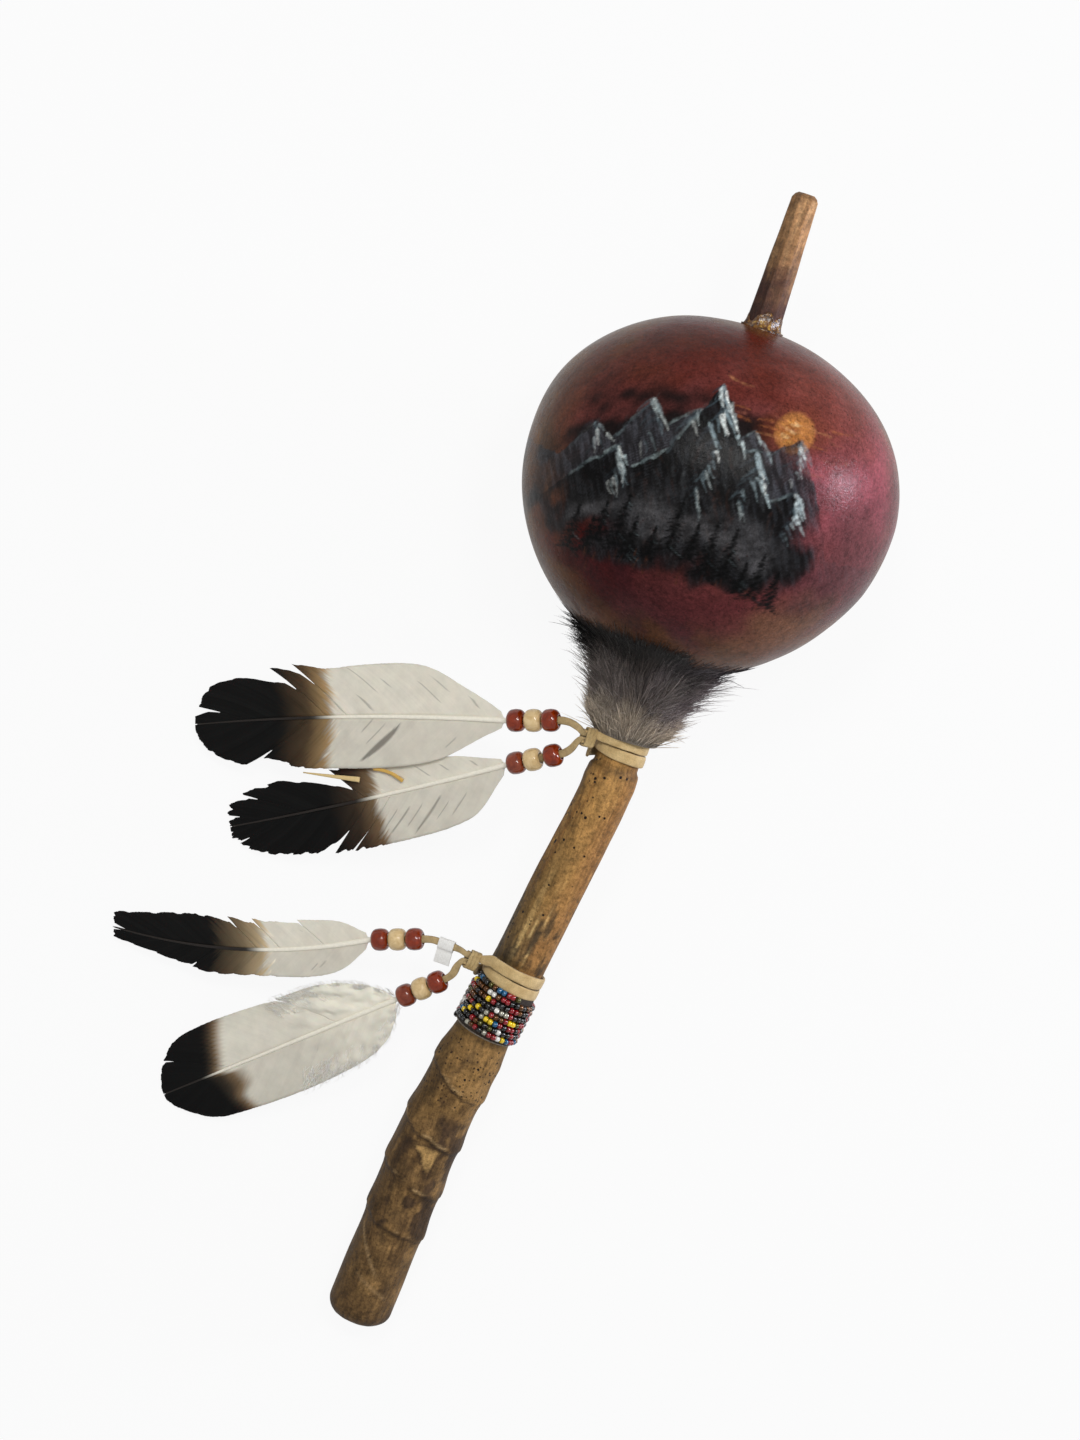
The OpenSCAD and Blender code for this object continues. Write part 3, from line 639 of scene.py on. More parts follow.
place = seedBeads["reach"] * radial + np.stack([0 * turn, 0 * turn, rowAt], -1)
place[:, 2] += gen.normal(0, 0.06, len(turn))
thread = np.stack([np.cos(turn), -np.sin(turn), 0 * turn + 0.032], -1)
thread = unit(thread + gen.normal(0, 0.06, thread.shape))
radial = unit(radial - thread * np.sum(radial * thread, -1, keepdims=True))
across = np.cross(thread, radial)
# each bead is a ring: hole + wall swept 8 times around the thread, 6 points a section
wall = (seedBeads["outside"] - seedBeads["hole"]) / 2
section = np.arange(6) * 2 * math.pi / 6 + math.pi / 6
spin = np.arange(8) * 2 * math.pi / 8
out = (seedBeads["hole"] + wall + wall * np.cos(section))[:, None] * np.ones(8)
length = (seedBeads["long"] * np.sin(section))[:, None] * np.ones(8)
ring = np.stack([length, out * np.cos(spin), out * np.sin(spin)], -1).reshape(-1, 3)
offset = (
    ring[None, :, :1] * thread[:, None]
    + ring[None, :, 1:2] * radial[:, None]
    + ring[None, :, 2:] * across[:, None]
)
local = place[:, None] + spread[:, None, None] * offset
faces = gridFaces(6, 8, True, True)
faces = (faces[None] + (np.arange(len(turn)) * len(ring))[:, None, None]).reshape(-1, 4)
band = addPiece("seedBand", toTable(onStretch(2, 0, local)), [faces])
odds = np.array([c[1] for c in seedColours])
chosen = gen.choice(len(seedColours), len(turn), p=odds / sum(odds))
repeatRun = gen.random(len(turn)) < 0.22
chosen[1:] = np.where(repeatRun[1:], chosen[:-1], chosen[1:])
tones = np.stack([srgb(*c[0]) for c in seedColours])[chosen] * (1 + gen.normal(0, 0.08, (len(turn), 1)))
shine = np.array([c[2] for c in seedColours], float)[chosen]
paintPoints(band, "tone", np.repeat(tones, len(ring), 0))
paintPoints(band, "foil", np.repeat(shine, len(ring)))
seedGlass, tree, shader = newFinish(
    "seedGlass",
    {"Roughness": 0.1, "Specular IOR Level": 0.6, "Coat Weight": 0.6, "Coat Roughness": 0.04},
)
grime = rampOf(tree, noiseOf(tree, objectPlace(tree), 0.9, 3), (0.35, 0.8), (0.65, 1.05))
tree.links.new(
    mixOf(tree, 1.0, attributeOf(tree, "tone"), grime, "MULTIPLY"), shader.inputs["Base Color"],
)
tree.links.new(sumOf(tree, "MULTIPLY", attributeOf(tree, "foil", "Fac"), 0.55), shader.inputs["Metallic"])
dress(band, seedGlass, "rattle", "seed_beads", "bead_band")
# the thread itself, with a free end laid against the handle below the last row
fine = np.linspace(0.6, turn[-1] + 4.4, 460)
ending = smoothStep(fine, turn[-1] - 0.4, turn[-1] + 0.5)
drop = seedBeads["from"] + seedBeads["pitch"] * np.minimum(fine, turn[-1]) / (2 * math.pi) + 0.62 * ending
depth = seedBeads["reach"] - 0.95 * ending
path = np.stack([depth * np.sin(fine), depth * np.cos(fine), drop], -1)
outward = np.stack([np.sin(fine), np.cos(fine), 0 * fine], -1)
strand = sweep(path, outward, rounded(6, 1.0) * 0.3)
string = addTube("seedThread", toTable(onStretch(2, 0, strand)))
threadFinish, tree, shader = newFinish("threadFinish", {"Roughness": 0.6, "Sheen Weight": 0.2})
twine = noiseOf(tree, objectPlace(tree), 3.0, 2)
tree.links.new(
    rampOf(tree, twine, (0.35, rgba(84, 74, 62)), (0.65, rgba(132, 119, 102))),
    shader.inputs["Base Color"],
)
dress(string, threadFinish, "rattle", "seed_beads")
# painted shade: a dark sleeve under the rows stands in for the shade between the beads
sleeveAt = np.array([-4.0, -3.6, 0.0, 8.0, place[:, 2].max() + 0.1, place[:, 2].max() + 0.6])
sleeveR = seedBeads["reach"] - 0.8 - np.array([0.4, 0, 0, 0, 0, 0.4])
around = ringAngles(64)
sleeveX = sleeveR[:, None] * np.sin(around)
sleeveY = sleeveR[:, None] * np.cos(around)
sleeve = np.stack(np.broadcast_arrays(sleeveX, sleeveY, sleeveAt[:, None]), -1)
shadeSleeve = addTube("seedShadeSleeve", toTable(onStretch(2, 0, sleeve)))
shadeSleeveFinish, tree, shader = newFinish("seedShadeSleeve", {"Roughness": 0.85})
sleeveMottle = noiseOf(tree, objectPlace(tree), 2.2, 3)
tree.links.new(
    rampOf(tree, sleeveMottle, (0.35, rgba(22, 17, 14)), (0.65, rgba(58, 46, 36))), shader.inputs["Base Color"],
)
dress(shadeSleeve, shadeSleeveFinish, "rattle", "seed_beads")
print("seed beads done:", len(turn))

# gourd: shell turned about the stick, closed around its stick hole and its neck
gourd = {
    "radius": 78.0, "top": 65.0, "fullness": 2.12, "bottom": 80.5, "neckStart": 72.0,
    "neckStraight": 98.0, "neckEnd": 104.0, "neck": 13.4, "bore": 9.8, "hole": 7.99, "wall": 4.0,
    "unevenness": 0.55,
}


def gourdRadius(t, wall=0.0):
    # superellipse above the widest ring, ellipse below it, then a cubic into the straight neck
    t = np.asarray(t, float)
    r = gourd["radius"] - wall
    power = gourd["fullness"]
    above = r * (1 - np.clip(t / (gourd["top"] - wall), 0, 1) ** power) ** (1 / power)
    low = gourd["bottom"] - wall
    below = r * np.sqrt(1 - np.clip(-t / low, 0, 0.9999) ** 2)
    a = -gourd["neckStart"] + wall / 2
    b = -gourd["neckStraight"] + wall / 2
    ra = r * math.sqrt(1 - (a / low) ** 2)
    slope = (r / low) ** 2 * -a / ra
    end = gourd["neck"] if wall == 0 else gourd["bore"]
    u = np.clip((a - t) / (a - b), 0, 1)
    draw = (
        (1 - 3 * u**2 + 2 * u**3) * ra - (u - 2 * u**2 + u**3) * slope * (a - b)
        + (3 * u**2 - 2 * u**3) * end
    )
    return np.where(t >= 0, above, np.where(t > a, below, draw))


def holeHeight(wall):
    # where the superellipse is as wide as the stick's hole
    power = gourd["fullness"]
    share = gourd["hole"] / (gourd["radius"] - wall)
    return (gourd["top"] - wall) * (1 - share**power) ** (1 / power)


# rows are close together across the painted front, and columns too; angle 0 faces up
rim = holeHeight(0)
rows = np.concatenate([
    rim - (rim - 47) * np.linspace(0, 1, 22)[:-1] ** 1.6, np.linspace(47, -42, 162)[:-1],
    np.linspace(-42, -gourd["neckEnd"], 34),
])
rowRadius = np.maximum(gourdRadius(rows), gourd["neck"] * (rows < -60))
rowRadius[0] = gourd["hole"]
inRows = np.concatenate([
    np.linspace(-gourd["neckEnd"], -60, 14), np.linspace(-50, holeHeight(gourd["wall"]), 14),
])
inRadius = gourdRadius(inRows, gourd["wall"])
inRadius[-1] = gourd["hole"]
half = np.concatenate([np.linspace(0, 1.02, 145), np.linspace(1.02, math.pi, 42)[1:]])
turn = np.concatenate([-half[:0:-1], half[:-1]])
allRows = np.concatenate([rows, inRows])
allRadius = np.concatenate([rowRadius, inRadius])
ringWay = np.stack([np.sin(turn), 0 * turn, np.cos(turn)], -1)
rowPlace = np.stack([0 * allRows, allRows, 0 * allRows], -1)
shell = allRadius[:, None, None] * ringWay[None] + rowPlace[:, None]
lumps = ripple(shell / 78, 1.15, 5, 2) * gourd["unevenness"]
calm = (smoothStep(allRadius, 14, 40) * (np.arange(len(allRows)) < len(rows)))[:, None]
shell = shell + (lumps * calm)[..., None] * unit(shell)
local = shell.reshape(-1, 3)
world = toTable(local)
world[:, 2] = np.maximum(world[:, 2], 0.0)
body = addPiece("gourdBody", world, [gridFaces(len(allRows), len(turn), True, True)])

# lacquer colours and painted sheen: broad soft patches by direction from the gourd's middle; the mauve
# ones on the right paint part of the window's sheen
facing = unit(local * [1, 0.95, 1])
skin = np.repeat(srgb(100, 50, 47)[None], len(local), 0)


def blendSkin(share, tone):
    # share of a colour over the skin that is there
    skin[:] += share[:, None] * (tone - skin)


patches = [
    ((0.61, 0.53, 0.58), 0.55, (122, 62, 58), 0.9), ((0.7, 0.15, 0.6), 0.5, (140, 70, 80), 0.85),
    ((0.38, 0.71, 0.59), 0.42, (104, 50, 40), 0.85), ((-0.05, 0.8, 0.55), 0.45, (84, 28, 16), 0.88),
    ((-0.41, 0.73, 0.54), 0.4, (70, 22, 13), 0.88), ((-0.77, 0.47, 0.42), 0.45, (80, 38, 24), 0.88),
    ((-0.88, -0.24, 0.41), 0.5, (86, 54, 28), 0.88), ((-0.46, -0.59, 0.66), 0.42, (58, 7, 6), 0.95),
    ((-0.1, -0.66, 0.75), 0.4, (56, 26, 30), 0.9), ((0.3, -0.62, 0.7), 0.4, (88, 40, 42), 0.8),
    ((0.83, -0.13, 0.54), 0.42, (90, 51, 53), 0.8), ((0.55, -0.67, 0.5), 0.36, (114, 78, 56), 0.8),
]
# the mauve patches on the right are partly painted sheen, the rest lacquer colour
for way, size, tone, share in patches:
    far = (
        np.linalg.norm(facing - unit(np.array(way)), axis=-1)
        + 0.13 * ripple(local, 40, int(100 * size) + tone[0])
    )
    blendSkin(share * (1 - smoothStep(far, 0.15 * size, 1.45 * size)), srgb(*tone))
# bare olive-tan skin shows towards the underside, most on the left, and at the neck
edge = facing[:, 2] + 0.15 * ripple(local, 34, 21) + 0.14 * facing[:, 0] + 0.1 * facing[:, 1]
bare = 1 - smoothStep(edge, -0.02, 0.46)
bareTone = srgb(98, 66, 28) * (1 + 0.3 * ripple(local, 22, 23))[:, None]
blendSkin(0.86 * bare, bareTone)
neckBand = smoothStep(4 * ripple(local, 14, 29) - local[:, 1], 54, 66)
blendSkin(0.65 * neckBand, srgb(90, 58, 32))
fromStick = np.linalg.norm(local - [0, rim, 0], axis=-1) + 4 * ripple(local, 16, 27)
nearStick = 1 - smoothStep(fromStick, 9, 24)
blendSkin(0.6 * nearStick, srgb(96, 50, 28))

# painted scene on the front: dusky mountains with pale brushed ridges, pines and a low ochre sun
painting = {
    "seed": 17, "sunAt": (23.0, 31.0), "sunStrokes": 46, "clouds": 26, "wornMarks": 260, "grass": 80,
}
x = local[:, 0]
y = local[:, 1]
front = (local[:, 2] > 8) & (np.arange(len(local)) < len(rows) * len(turn))
dry = ripple(local, 2.4, 31, 2)
soft = ripple(local, 24, 33)
brushGen = np.random.default_rng(painting["seed"])


def lay(share, tone):
    # a wash: share of a colour over what is there, on the front only
    blendSkin(np.clip(share, 0, 1) * front, srgb(*tone))


def brush(start, end, wide, tone, strength=0.9, bow=0.0):
    # a stroke: full along its start, thinning to its end, with a dry edge
    dx = end[0] - start[0]
    dy = end[1] - start[1]
    size = math.hypot(dx, dy)
    spread = size / 2 + wide + abs(bow)
    beside = np.abs(x - (start[0] + end[0]) / 2) < spread
    level = np.abs(y - (start[1] + end[1]) / 2) < spread
    near = np.nonzero(front & beside & level)[0]
    u = ((x[near] - start[0]) * dx + (y[near] - start[1]) * dy) / size**2
    off = ((x[near] - start[0]) * dy - (y[near] - start[1]) * dx) / size - bow * 4 * u * (1 - u)
    thick = wide * np.clip(1.05 - 0.8 * u, 0.1, 1) * smoothStep(u, -0.06, 0.12)
    share = strength * np.clip((thick / 2 - np.abs(off)) / 0.5 + 0.5, 0, 1) * ((u > -0.05) & (u < 1))
    share = share * (0.72 + 0.42 * dry[near])
    skin[near] += np.clip(share, 0, 1)[:, None] * (srgb(*tone) - skin[near])


def anyOf(*tones):
    return tones[brushGen.integers(len(tones))]


# the dusk: a smoky black mass that fades into the lacquer
haze = np.hypot((x + 9) / np.where(x > -9, 50, 60), (y + 1) / 43) + 0.15 * soft
lay(0.97 * (1 - smoothStep(haze, 0.62, 1.04)), (17, 15, 15))
# ochre sun, low behind the far range, with warm streaks of cloud beside it
sunAt = painting["sunAt"]
sun = np.hypot(x - sunAt[0], y - sunAt[1])
lay(0.55 * (1 - smoothStep(sun + 1.5 * soft, 8, 17)), (96, 46, 30))
lay(0.9 * (1 - smoothStep(sun + 0.25 * dry, 6.6, 9.0)), (160, 104, 56))
for k in range(painting["sunStrokes"]):
    a = brushGen.uniform(0, 6.28)
    r = 5.0 * math.sqrt(brushGen.random())
    lean = brushGen.uniform(2, 4.5)
    tone = anyOf((232, 202, 148), (208, 150, 78), (156, 88, 42), (190, 124, 60))
    at = sunAt[0] + r * math.cos(a)
    high = sunAt[1] + r * math.sin(a)
    end = (at + lean / 2, high + brushGen.uniform(-1, 0.4))
    brush((at - lean / 2, high), end, brushGen.uniform(0.9, 1.7), tone, 0.5, 0.3)
for k in range(painting["clouds"]):
    at = sunAt[0] + brushGen.normal(0, 13)
    high = sunAt[1] + brushGen.normal(1, 5)
    end = (at + brushGen.choice([-1, 1]) * brushGen.uniform(5, 12), high + brushGen.normal(0, 0.8))
    wide = brushGen.uniform(0.9, 1.6)
    brush((at, high), end, wide, anyOf((150, 88, 52), (122, 72, 58), (172, 118, 78)), 0.45, 0.5)
# two ranges: heights over x, drawn through peaks and saddles
farRange = np.array([
    (-62, -6), (-52, 11), (-44, 7), (-33, 27), (-26, 19), (-15, 29), (-4, 17), (8, 27), (15, 20),
    (26, 29), (32, 20), (38, 12), (44, 1), (51, -13),
], float)
nearRange = np.array([
    (-64, -24), (-52, -7), (-41, 5), (-34, -1), (-23, 9), (-9, 40), (-4, 35), (5, 19), (11, 20), (21, 3),
    (30, 9), (37, 1), (44, -10), (51, -23),
], float)
crestLit = [(206, 212, 208), (178, 190, 190), (148, 162, 164)]
crestDull = [(92, 104, 106), (70, 80, 84), (118, 130, 130)]
for heights, tone, veil in ((farRange, (44, 43, 46), 0.9), (nearRange, (14, 13, 13), 0.97)):
    line = np.interp(x, heights[:, 0], heights[:, 1]) + 0.8 * ripple(np.stack([x, 0 * x], -1), 5, 41, 2)
    fade = 1 - smoothStep(haze, 0.85, 1.3)
    foot = smoothStep(y - 8 * soft, -40, -20)
    cover = smoothStep(line - y, -0.4, 0.4) * np.maximum(fade, 0.2) * foot
    lay(veil * cover, tone)
    # flanks streaked downhill, lighter and darker by turns
    flank = ripple(np.stack([x + 0.5 * y, 0.14 * y], -1), 2.6, 45, 4)
    lay(0.5 * cover * smoothStep(flank, 0.05, 0.6), (tone[0] + 26, tone[1] + 28, tone[2] + 31))
    lay(0.5 * cover * smoothStep(-flank, 0.05, 0.6), (15, 14, 15))
    # pale strokes along the crest, bright where it falls towards the sun
    for k in range(len(heights) - 1):
        start = heights[k]
        end = heights[k + 1]
        lit = end[1] < start[1]
        steps = max(2, int(np.linalg.norm(end - start) / 3.2))
        for j in range(steps):
            p = start + (end - start) * (j + brushGen.uniform(-0.2, 0.3)) / steps
            q = p + (end - start) / np.linalg.norm(end - start) * brushGen.uniform(4, 7.5)
            tone = anyOf(*crestLit) if lit else anyOf(*crestDull)
            fade = 1 - smoothStep(math.hypot((q[0] + 9) / 60, (q[1] + 1) / 43), 0.62, 0.86)
            power = (0.9 if lit else 0.7) * (1 if heights is nearRange else 0.6) * fade
            p = p + brushGen.normal(0, 0.35, 2)
            q = q + brushGen.normal(0, 0.35, 2)
            brush(p, q, brushGen.uniform(1.1, 1.9), tone, power, brushGen.normal(0, 0.3))
# faint worn brush marks all over the dark mass
for k in range(painting["wornMarks"]):
    at = np.array([brushGen.normal(-10, 26), brushGen.normal(-2, 16)])
    lean = brushGen.normal(-1.2, 0.35)
    end = at + brushGen.uniform(5, 11) * np.array([math.cos(lean), math.sin(lean)])
    wide = brushGen.uniform(1.0, 2.0)
    tone = anyOf((40, 42, 46), (52, 34, 28), (30, 28, 28), (58, 60, 62))
    fade = 1 - smoothStep(math.hypot((at[0] + 9) / 60, (at[1] + 1) / 43), 0.5, 0.85)
    brush(at, end, wide, tone, 0.34 * fade, 0.4)
# ridges run down from the peaks: lit strokes fall to the right of each, smoky ones to the left
ridges = [
    (1.0, [(-9, 40), (-6, 31), (-9, 23), (-4, 13), (-8, 3), (-3, -8)]),
    (0.75, [(11, 20), (14, 12), (10, 4), (13, -6)]), (0.7, [(-41, 5), (-38, -3), (-41, -10)]),
    (0.75, [(31, 9), (33, 1), (30, -7)]), (0.6, [(-33, 27), (-30, 18), (-33, 9)]),
    (0.55, [(-15, 29), (-18, 20)]), (0.55, [(26, 29), (28, 20), (25, 12)]), (0.5, [(-52, 11), (-50, 2)]),
]
ridgeLit = [(222, 226, 222), (186, 198, 198), (140, 156, 160), (108, 124, 130)]
ridgeDull = [(56, 66, 72), (44, 48, 54), (78, 92, 98)]
for power, ridge in ridges:
    spine = curveThrough([(*p, 0.0) for p in ridge], 60)[:, :2]
    for k in range(int(26 * power * len(ridge) / 3)):
        at = brushGen.random() ** 1.5
        p = spine[int(at * 59)] + brushGen.normal(0, 0.5, 2)
        size = brushGen.uniform(4, 11) * (1 - 0.3 * at)
        lit = brushGen.random() < 0.62
        lean = brushGen.uniform(0.35, 0.95) * (1 if lit else -1)
        tone = anyOf(*ridgeLit) if lit else anyOf(*ridgeDull)
        end = p + np.array([lean, -1.0]) / math.hypot(lean, 1) * size
        strength = power * (1 - 0.75 * at) * (0.95 if lit else 0.8)
        brush(p, end, brushGen.uniform(0.9, 1.9), tone, strength, brushGen.normal(0, 0.5))
# a band of mist behind the trees
bank = (y + 15 + 0.004 * x**2 - 3 * soft) / 6.5
mist = np.exp(-(bank**2)) * (0.6 + 0.4 * ripple(local * [0.4, 1, 1], 9, 43))
lay(0.5 * mist * (1 - smoothStep(haze, 0.7, 1.0)), (104, 102, 104))
# pines along the foot: a trunk and pairs of drooping branches each, the lit side edged with grey
for at in (-49, -42, -37, -30.5, -24, -15.5, -9, 0, 6.5, 13, 21.5, 27, 35):
    at += brushGen.uniform(-1.4, 1.4)
    foot = -29 - 0.005 * at**2 + brushGen.uniform(-4, 3)
    tall = brushGen.uniform(13, 24)
    brush((at, foot), (at, foot + tall), 1.5, (10, 10, 10), 1.0)
    for level in np.linspace(0.06, 0.95, 14):
        reach = (1 - level) * tall * 0.26 + 0.6
        for sideway in (-1, 1):
            start = (at, foot + level * tall)
            end = (at + sideway * reach * brushGen.uniform(0.75, 1.2), foot + level * tall - reach * 0.55)
            brush(start, end, 1.6, (11, 11, 11), 1.0, 0.2 * sideway)
            if sideway > 0 and brushGen.random() < 0.16:
                start = (start[0] + 0.3, start[1] + 0.6)
                end = (end[0] + 0.3, end[1] + 0.6)
                brush(start, end, 0.8, anyOf((92, 104, 106), (66, 76, 80)), 0.5, 0.2)
# warm grass strokes below the trees
for k in range(painting["grass"]):
    at = brushGen.uniform(-42, 36)
    foot = -35 - 0.005 * at**2 + brushGen.normal(0, 2.2)
    end = (at + brushGen.uniform(-1.5, 1.5), foot + brushGen.uniform(2.5, 5))
    brush((at, foot), end, 0.9, anyOf((84, 48, 30), (60, 34, 26), (28, 18, 18), (24, 16, 18)), 0.5)
paintPoints(body, "coatAndSheenColour", skin)

lacquer, tree, shader = newFinish("gourdLacquer", {"Roughness": 0.26, "Specular IOR Level": 0.08})
place = objectPlace(tree)
mottle = rampOf(tree, noiseOf(tree, place, 0.075, 5, 0.62), (0.3, 0.76), (0.7, 1.2))
colour = mixOf(tree, 1.0, attributeOf(tree, "coatAndSheenColour"), mottle, "MULTIPLY")
speck = rampOf(tree, cellsOf(tree, place, 0.34), (0.06, 0.0), (0.17, 1.0))
speckWhere = rampOf(tree, noiseOf(tree, place, 0.05, 2), (0.44, 0.0), (0.6, 0.8))
speckShare = mixOf(tree, speckWhere, (0, 0, 0, 1), mixOf(tree, speck, (1, 1, 1, 1), (0, 0, 0, 1)))
colour = mixOf(tree, speckShare, colour, rgba(34, 17, 16))
stipple = rampOf(tree, noiseOf(tree, place, 0.42, 4, 0.72), (0.36, 0.7), (0.5, 1.0), (0.66, 1.18))
colour = mixOf(tree, 1.0, colour, stipple, "MULTIPLY")
grit = noiseOf(tree, place, 1.0, 4, 0.75)
colour = mixOf(tree, 1.0, colour, rampOf(tree, grit, (0.34, 0.7), (0.5, 0.98), (0.68, 1.3)), "MULTIPLY")
tree.links.new(colour, shader.inputs["Base Color"])
tree.links.new(
    rampOf(tree, noiseOf(tree, place, 0.12, 4), (0.3, 0.21), (0.72, 0.3)), shader.inputs["Roughness"],
)
height = sumOf(tree, "ADD", noiseOf(tree, place, 0.16, 5, 0.6), sumOf(tree, "MULTIPLY", grit, 0.25))
tree.links.new(bumpOf(tree, height, 0.35, 0.0009), shader.inputs["Normal"])
dress(body, lacquer, "rattle", "gourd", "gourd_shell")
print("gourd done")


# wood for the handle and the whittled end: colours by point, grain and pits from nodes
def woodFinish(name, gloss, pitScale, pitSize, lean):
    material, tree, shader = newFinish(name, {"Roughness": gloss, "Specular IOR Level": 0.18})
    grainPlace = objectPlace(tree, scale=(1000, 90, 1000), turn=(-stance["tilt"], 0, lean))
    place = objectPlace(tree)
    grain = noiseOf(tree, grainPlace, 0.75, 6, 0.7, 0.4)
    colour = mixOf(
        tree, 1.0, attributeOf(tree, "woodColour"),
        rampOf(tree, grain, (0.28, 0.56), (0.5, 0.98), (0.72, 1.3)), "MULTIPLY",
    )
    blotch = rampOf(tree, noiseOf(tree, place, 0.2, 5, 0.7), (0.34, 0.68), (0.5, 1.0), (0.66, 1.2))
    colour = mixOf(tree, 1.0, colour, blotch, "MULTIPLY")
    speck = noiseOf(tree, place, 0.7, 5, 0.72)
    colour = mixOf(
        tree, 1.0, colour, rampOf(tree, speck, (0.34, 0.55), (0.5, 0.97), (0.64, 1.24)), "MULTIPLY",
    )
    cells = cellsOf(tree, place, pitScale)
    fewer = sumOf(
        tree, "MULTIPLY", sumOf(tree, "SUBTRACT", 1.0, attributeOf(tree, "pitShare", "Fac")), 0.2,
    )
    patchy = rampOf(tree, noiseOf(tree, place, 0.09, 3), (0.42, 0.0), (0.62, 0.07))
    pits = rampOf(
        tree, sumOf(tree, "ADD", sumOf(tree, "ADD", cells, fewer), patchy), (pitSize, 1.0),
        (pitSize + 0.06, 0.0),
    )
    colour = mixOf(tree, pits, colour, rgba(24, 16, 12))
    away = sumOf(
        tree, "MULTIPLY", sumOf(tree, "SUBTRACT", 1.0, attributeOf(tree, "dotShare", "Fac")), 0.5,
    )
    dots = rampOf(tree, sumOf(tree, "ADD", cellsOf(tree, place, 0.45), away), (0.17, 0.9), (0.26, 0.0))
    colour = mixOf(tree, dots, colour, rgba(52, 36, 23))
    tree.links.new(colour, shader.inputs["Base Color"])
    height = sumOf(
        tree, "SUBTRACT", sumOf(tree, "ADD", grain, sumOf(tree, "MULTIPLY", speck, 0.6)),
        sumOf(tree, "MULTIPLY", pits, 1.2),
    )
    tree.links.new(bumpOf(tree, height, 0.55, 0.0007), shader.inputs["Normal"])
    tree.links.new(
        rampOf(tree, speck, (0.3, gloss - 0.1), (0.7, gloss + 0.14)), shader.inputs["Roughness"],
    )
    return material


handleWood = woodFinish("handleWood", 0.52, 0.27, 0.15, 0.14)
tipWood = woodFinish("tipWood", 0.42, 0.16, 0.05, 0.0)

# handle: rings along the smoothed line of the four stretches, with slanted ring scars
handle = {
    "from": 96.0, "step": 0.85, "around": 84, "bendSoftness": 7.0, "unevenness": 0.28, "scarDepth": 0.3,
    # stretch, place, swell, slant
    "scars": [(2, 41.8, 0.95, 5.2), (2, 67.0, 0.95, 4.4), (3, 20.5, 0.9, 4.8), (3, 42.5, 0.9, 3.4)],
    "buttRound": 7.0,
}
lengths = np.array(stance["lengths"])
starts = np.concatenate([[0], np.cumsum(lengths)]) - handle["from"]
total = starts[4]
s = np.arange(0, total, handle["step"])
padded = np.arange(-40, total + 40, handle["step"])
corner = np.concatenate([stretchStarts, [stretchStarts[3] + lengths[3] * downWays[3]]])
corner = np.concatenate([
    [corner[0] + downWays[0] * (handle["from"] - 60)], corner[1:], [corner[-1] + 60 * downWays[3]],
])
cornerPlace = np.concatenate([[-60], starts[1:], [total + 60]])
rough = np.stack([np.interp(padded, cornerPlace, corner[:, k]) for k in range(3)], -1)
kernel = np.exp(-0.5 * (np.arange(-30, 31) * handle["step"] / handle["bendSoftness"]) ** 2)
kernel /= kernel.sum()
smoothLine = np.stack([np.convolve(rough[:, k], kernel, "same") for k in range(3)], -1)
line = np.stack([np.interp(s, padded, smoothLine[:, k]) for k in range(3)], -1)
shankAt = starts[1]
bandAt = starts[2]
gripAt = starts[3]
radiusAt = np.array([
    (0, 9.6), (30.9, 9.6), (32.6, 10.9), (shankAt, 11.4), (shankAt + 84, 11.85), (shankAt + 87, 11.7),
    (bandAt, 11.75), (bandAt + 0.6, 12.4), (bandAt + 20, 12.4), (bandAt + 23, 12.8),
    (bandAt + 30.5, 13.95), (bandAt + 54, 14.0), (gripAt, 14.1), (gripAt + 60, 14.0), (gripAt + 92, 13.9),
])
turn = ringAngles(handle["around"])
radius = np.interp(s, radiusAt[:, 0], radiusAt[:, 1])[:, None] * np.ones(len(turn))
here = np.stack(np.broadcast_arrays(s[:, None] / 3.2, 12 * np.sin(turn), 12 * np.cos(turn)), -1)
covered = 0.75 * smoothStep(s, bandAt - 18, bandAt - 14) * (1 - smoothStep(s, bandAt + 23, bandAt + 27))
shows = (smoothStep(s, shankAt - 2, shankAt + 6) * (1 - covered))[:, None]
radius = radius + shows * handle["unevenness"] * ripple(here, 15, 51)
radius = radius * (1 + 0.018 * shows * np.sin(2 * turn + 0.01 * s[:, None] + 0.6))
scarLine = np.zeros_like(radius)
scarEdge = np.zeros_like(radius)
for stretch, at, swell, slant in handle["scars"]:
    off = (
        s[:, None] - (starts[stretch] + at) - slant * np.sin(turn) - 1.6 * np.cos(turn)
        - 0.8 * ripple(here, 11, int(at), 2)
    )
    rise = np.where(off < 0, np.exp(-((off / 6.5) ** 2)), np.exp(-((off / 2.6) ** 2)))
    radius = radius + swell * rise - handle["scarDepth"] * np.exp(-(((off - 1.6) / 0.8) ** 2))
    broken = smoothStep(ripple(here, 20, 3 + int(at)), -0.8, 0.1)
    scarLine += np.exp(-(((off - 1.5) / 0.75) ** 2)) * broken
    scarEdge += np.exp(-(((off + 0.1) / 0.6) ** 2)) * smoothStep(ripple(here, 14, 5 + int(at)), -0.1, 0.5)
# the butt: the edge rolls over to a slightly domed end
toEnd = np.clip((handle["buttRound"] - (total - s)) / handle["buttRound"], 0, 1)[:, None]
radius = radius - handle["buttRound"] * (1 - np.sqrt(np.clip(1 - toEnd**2, 0, 1))) * (toEnd > 0)
way = unit(np.gradient(line, axis=0))
side = unit(np.cross(way, np.array([0.0, 0, 1])))
up = np.cross(side, way)
outward = -np.sin(turn)[None, :, None] * side[:, None] + np.cos(turn)[None, :, None] * up[:, None]
rings = line[:, None] + radius[..., None] * outward
world = toTable(rings)
world[..., 2] = np.maximum(world[..., 2], 0.03)
grip = addTube("knobbedHandle", world)
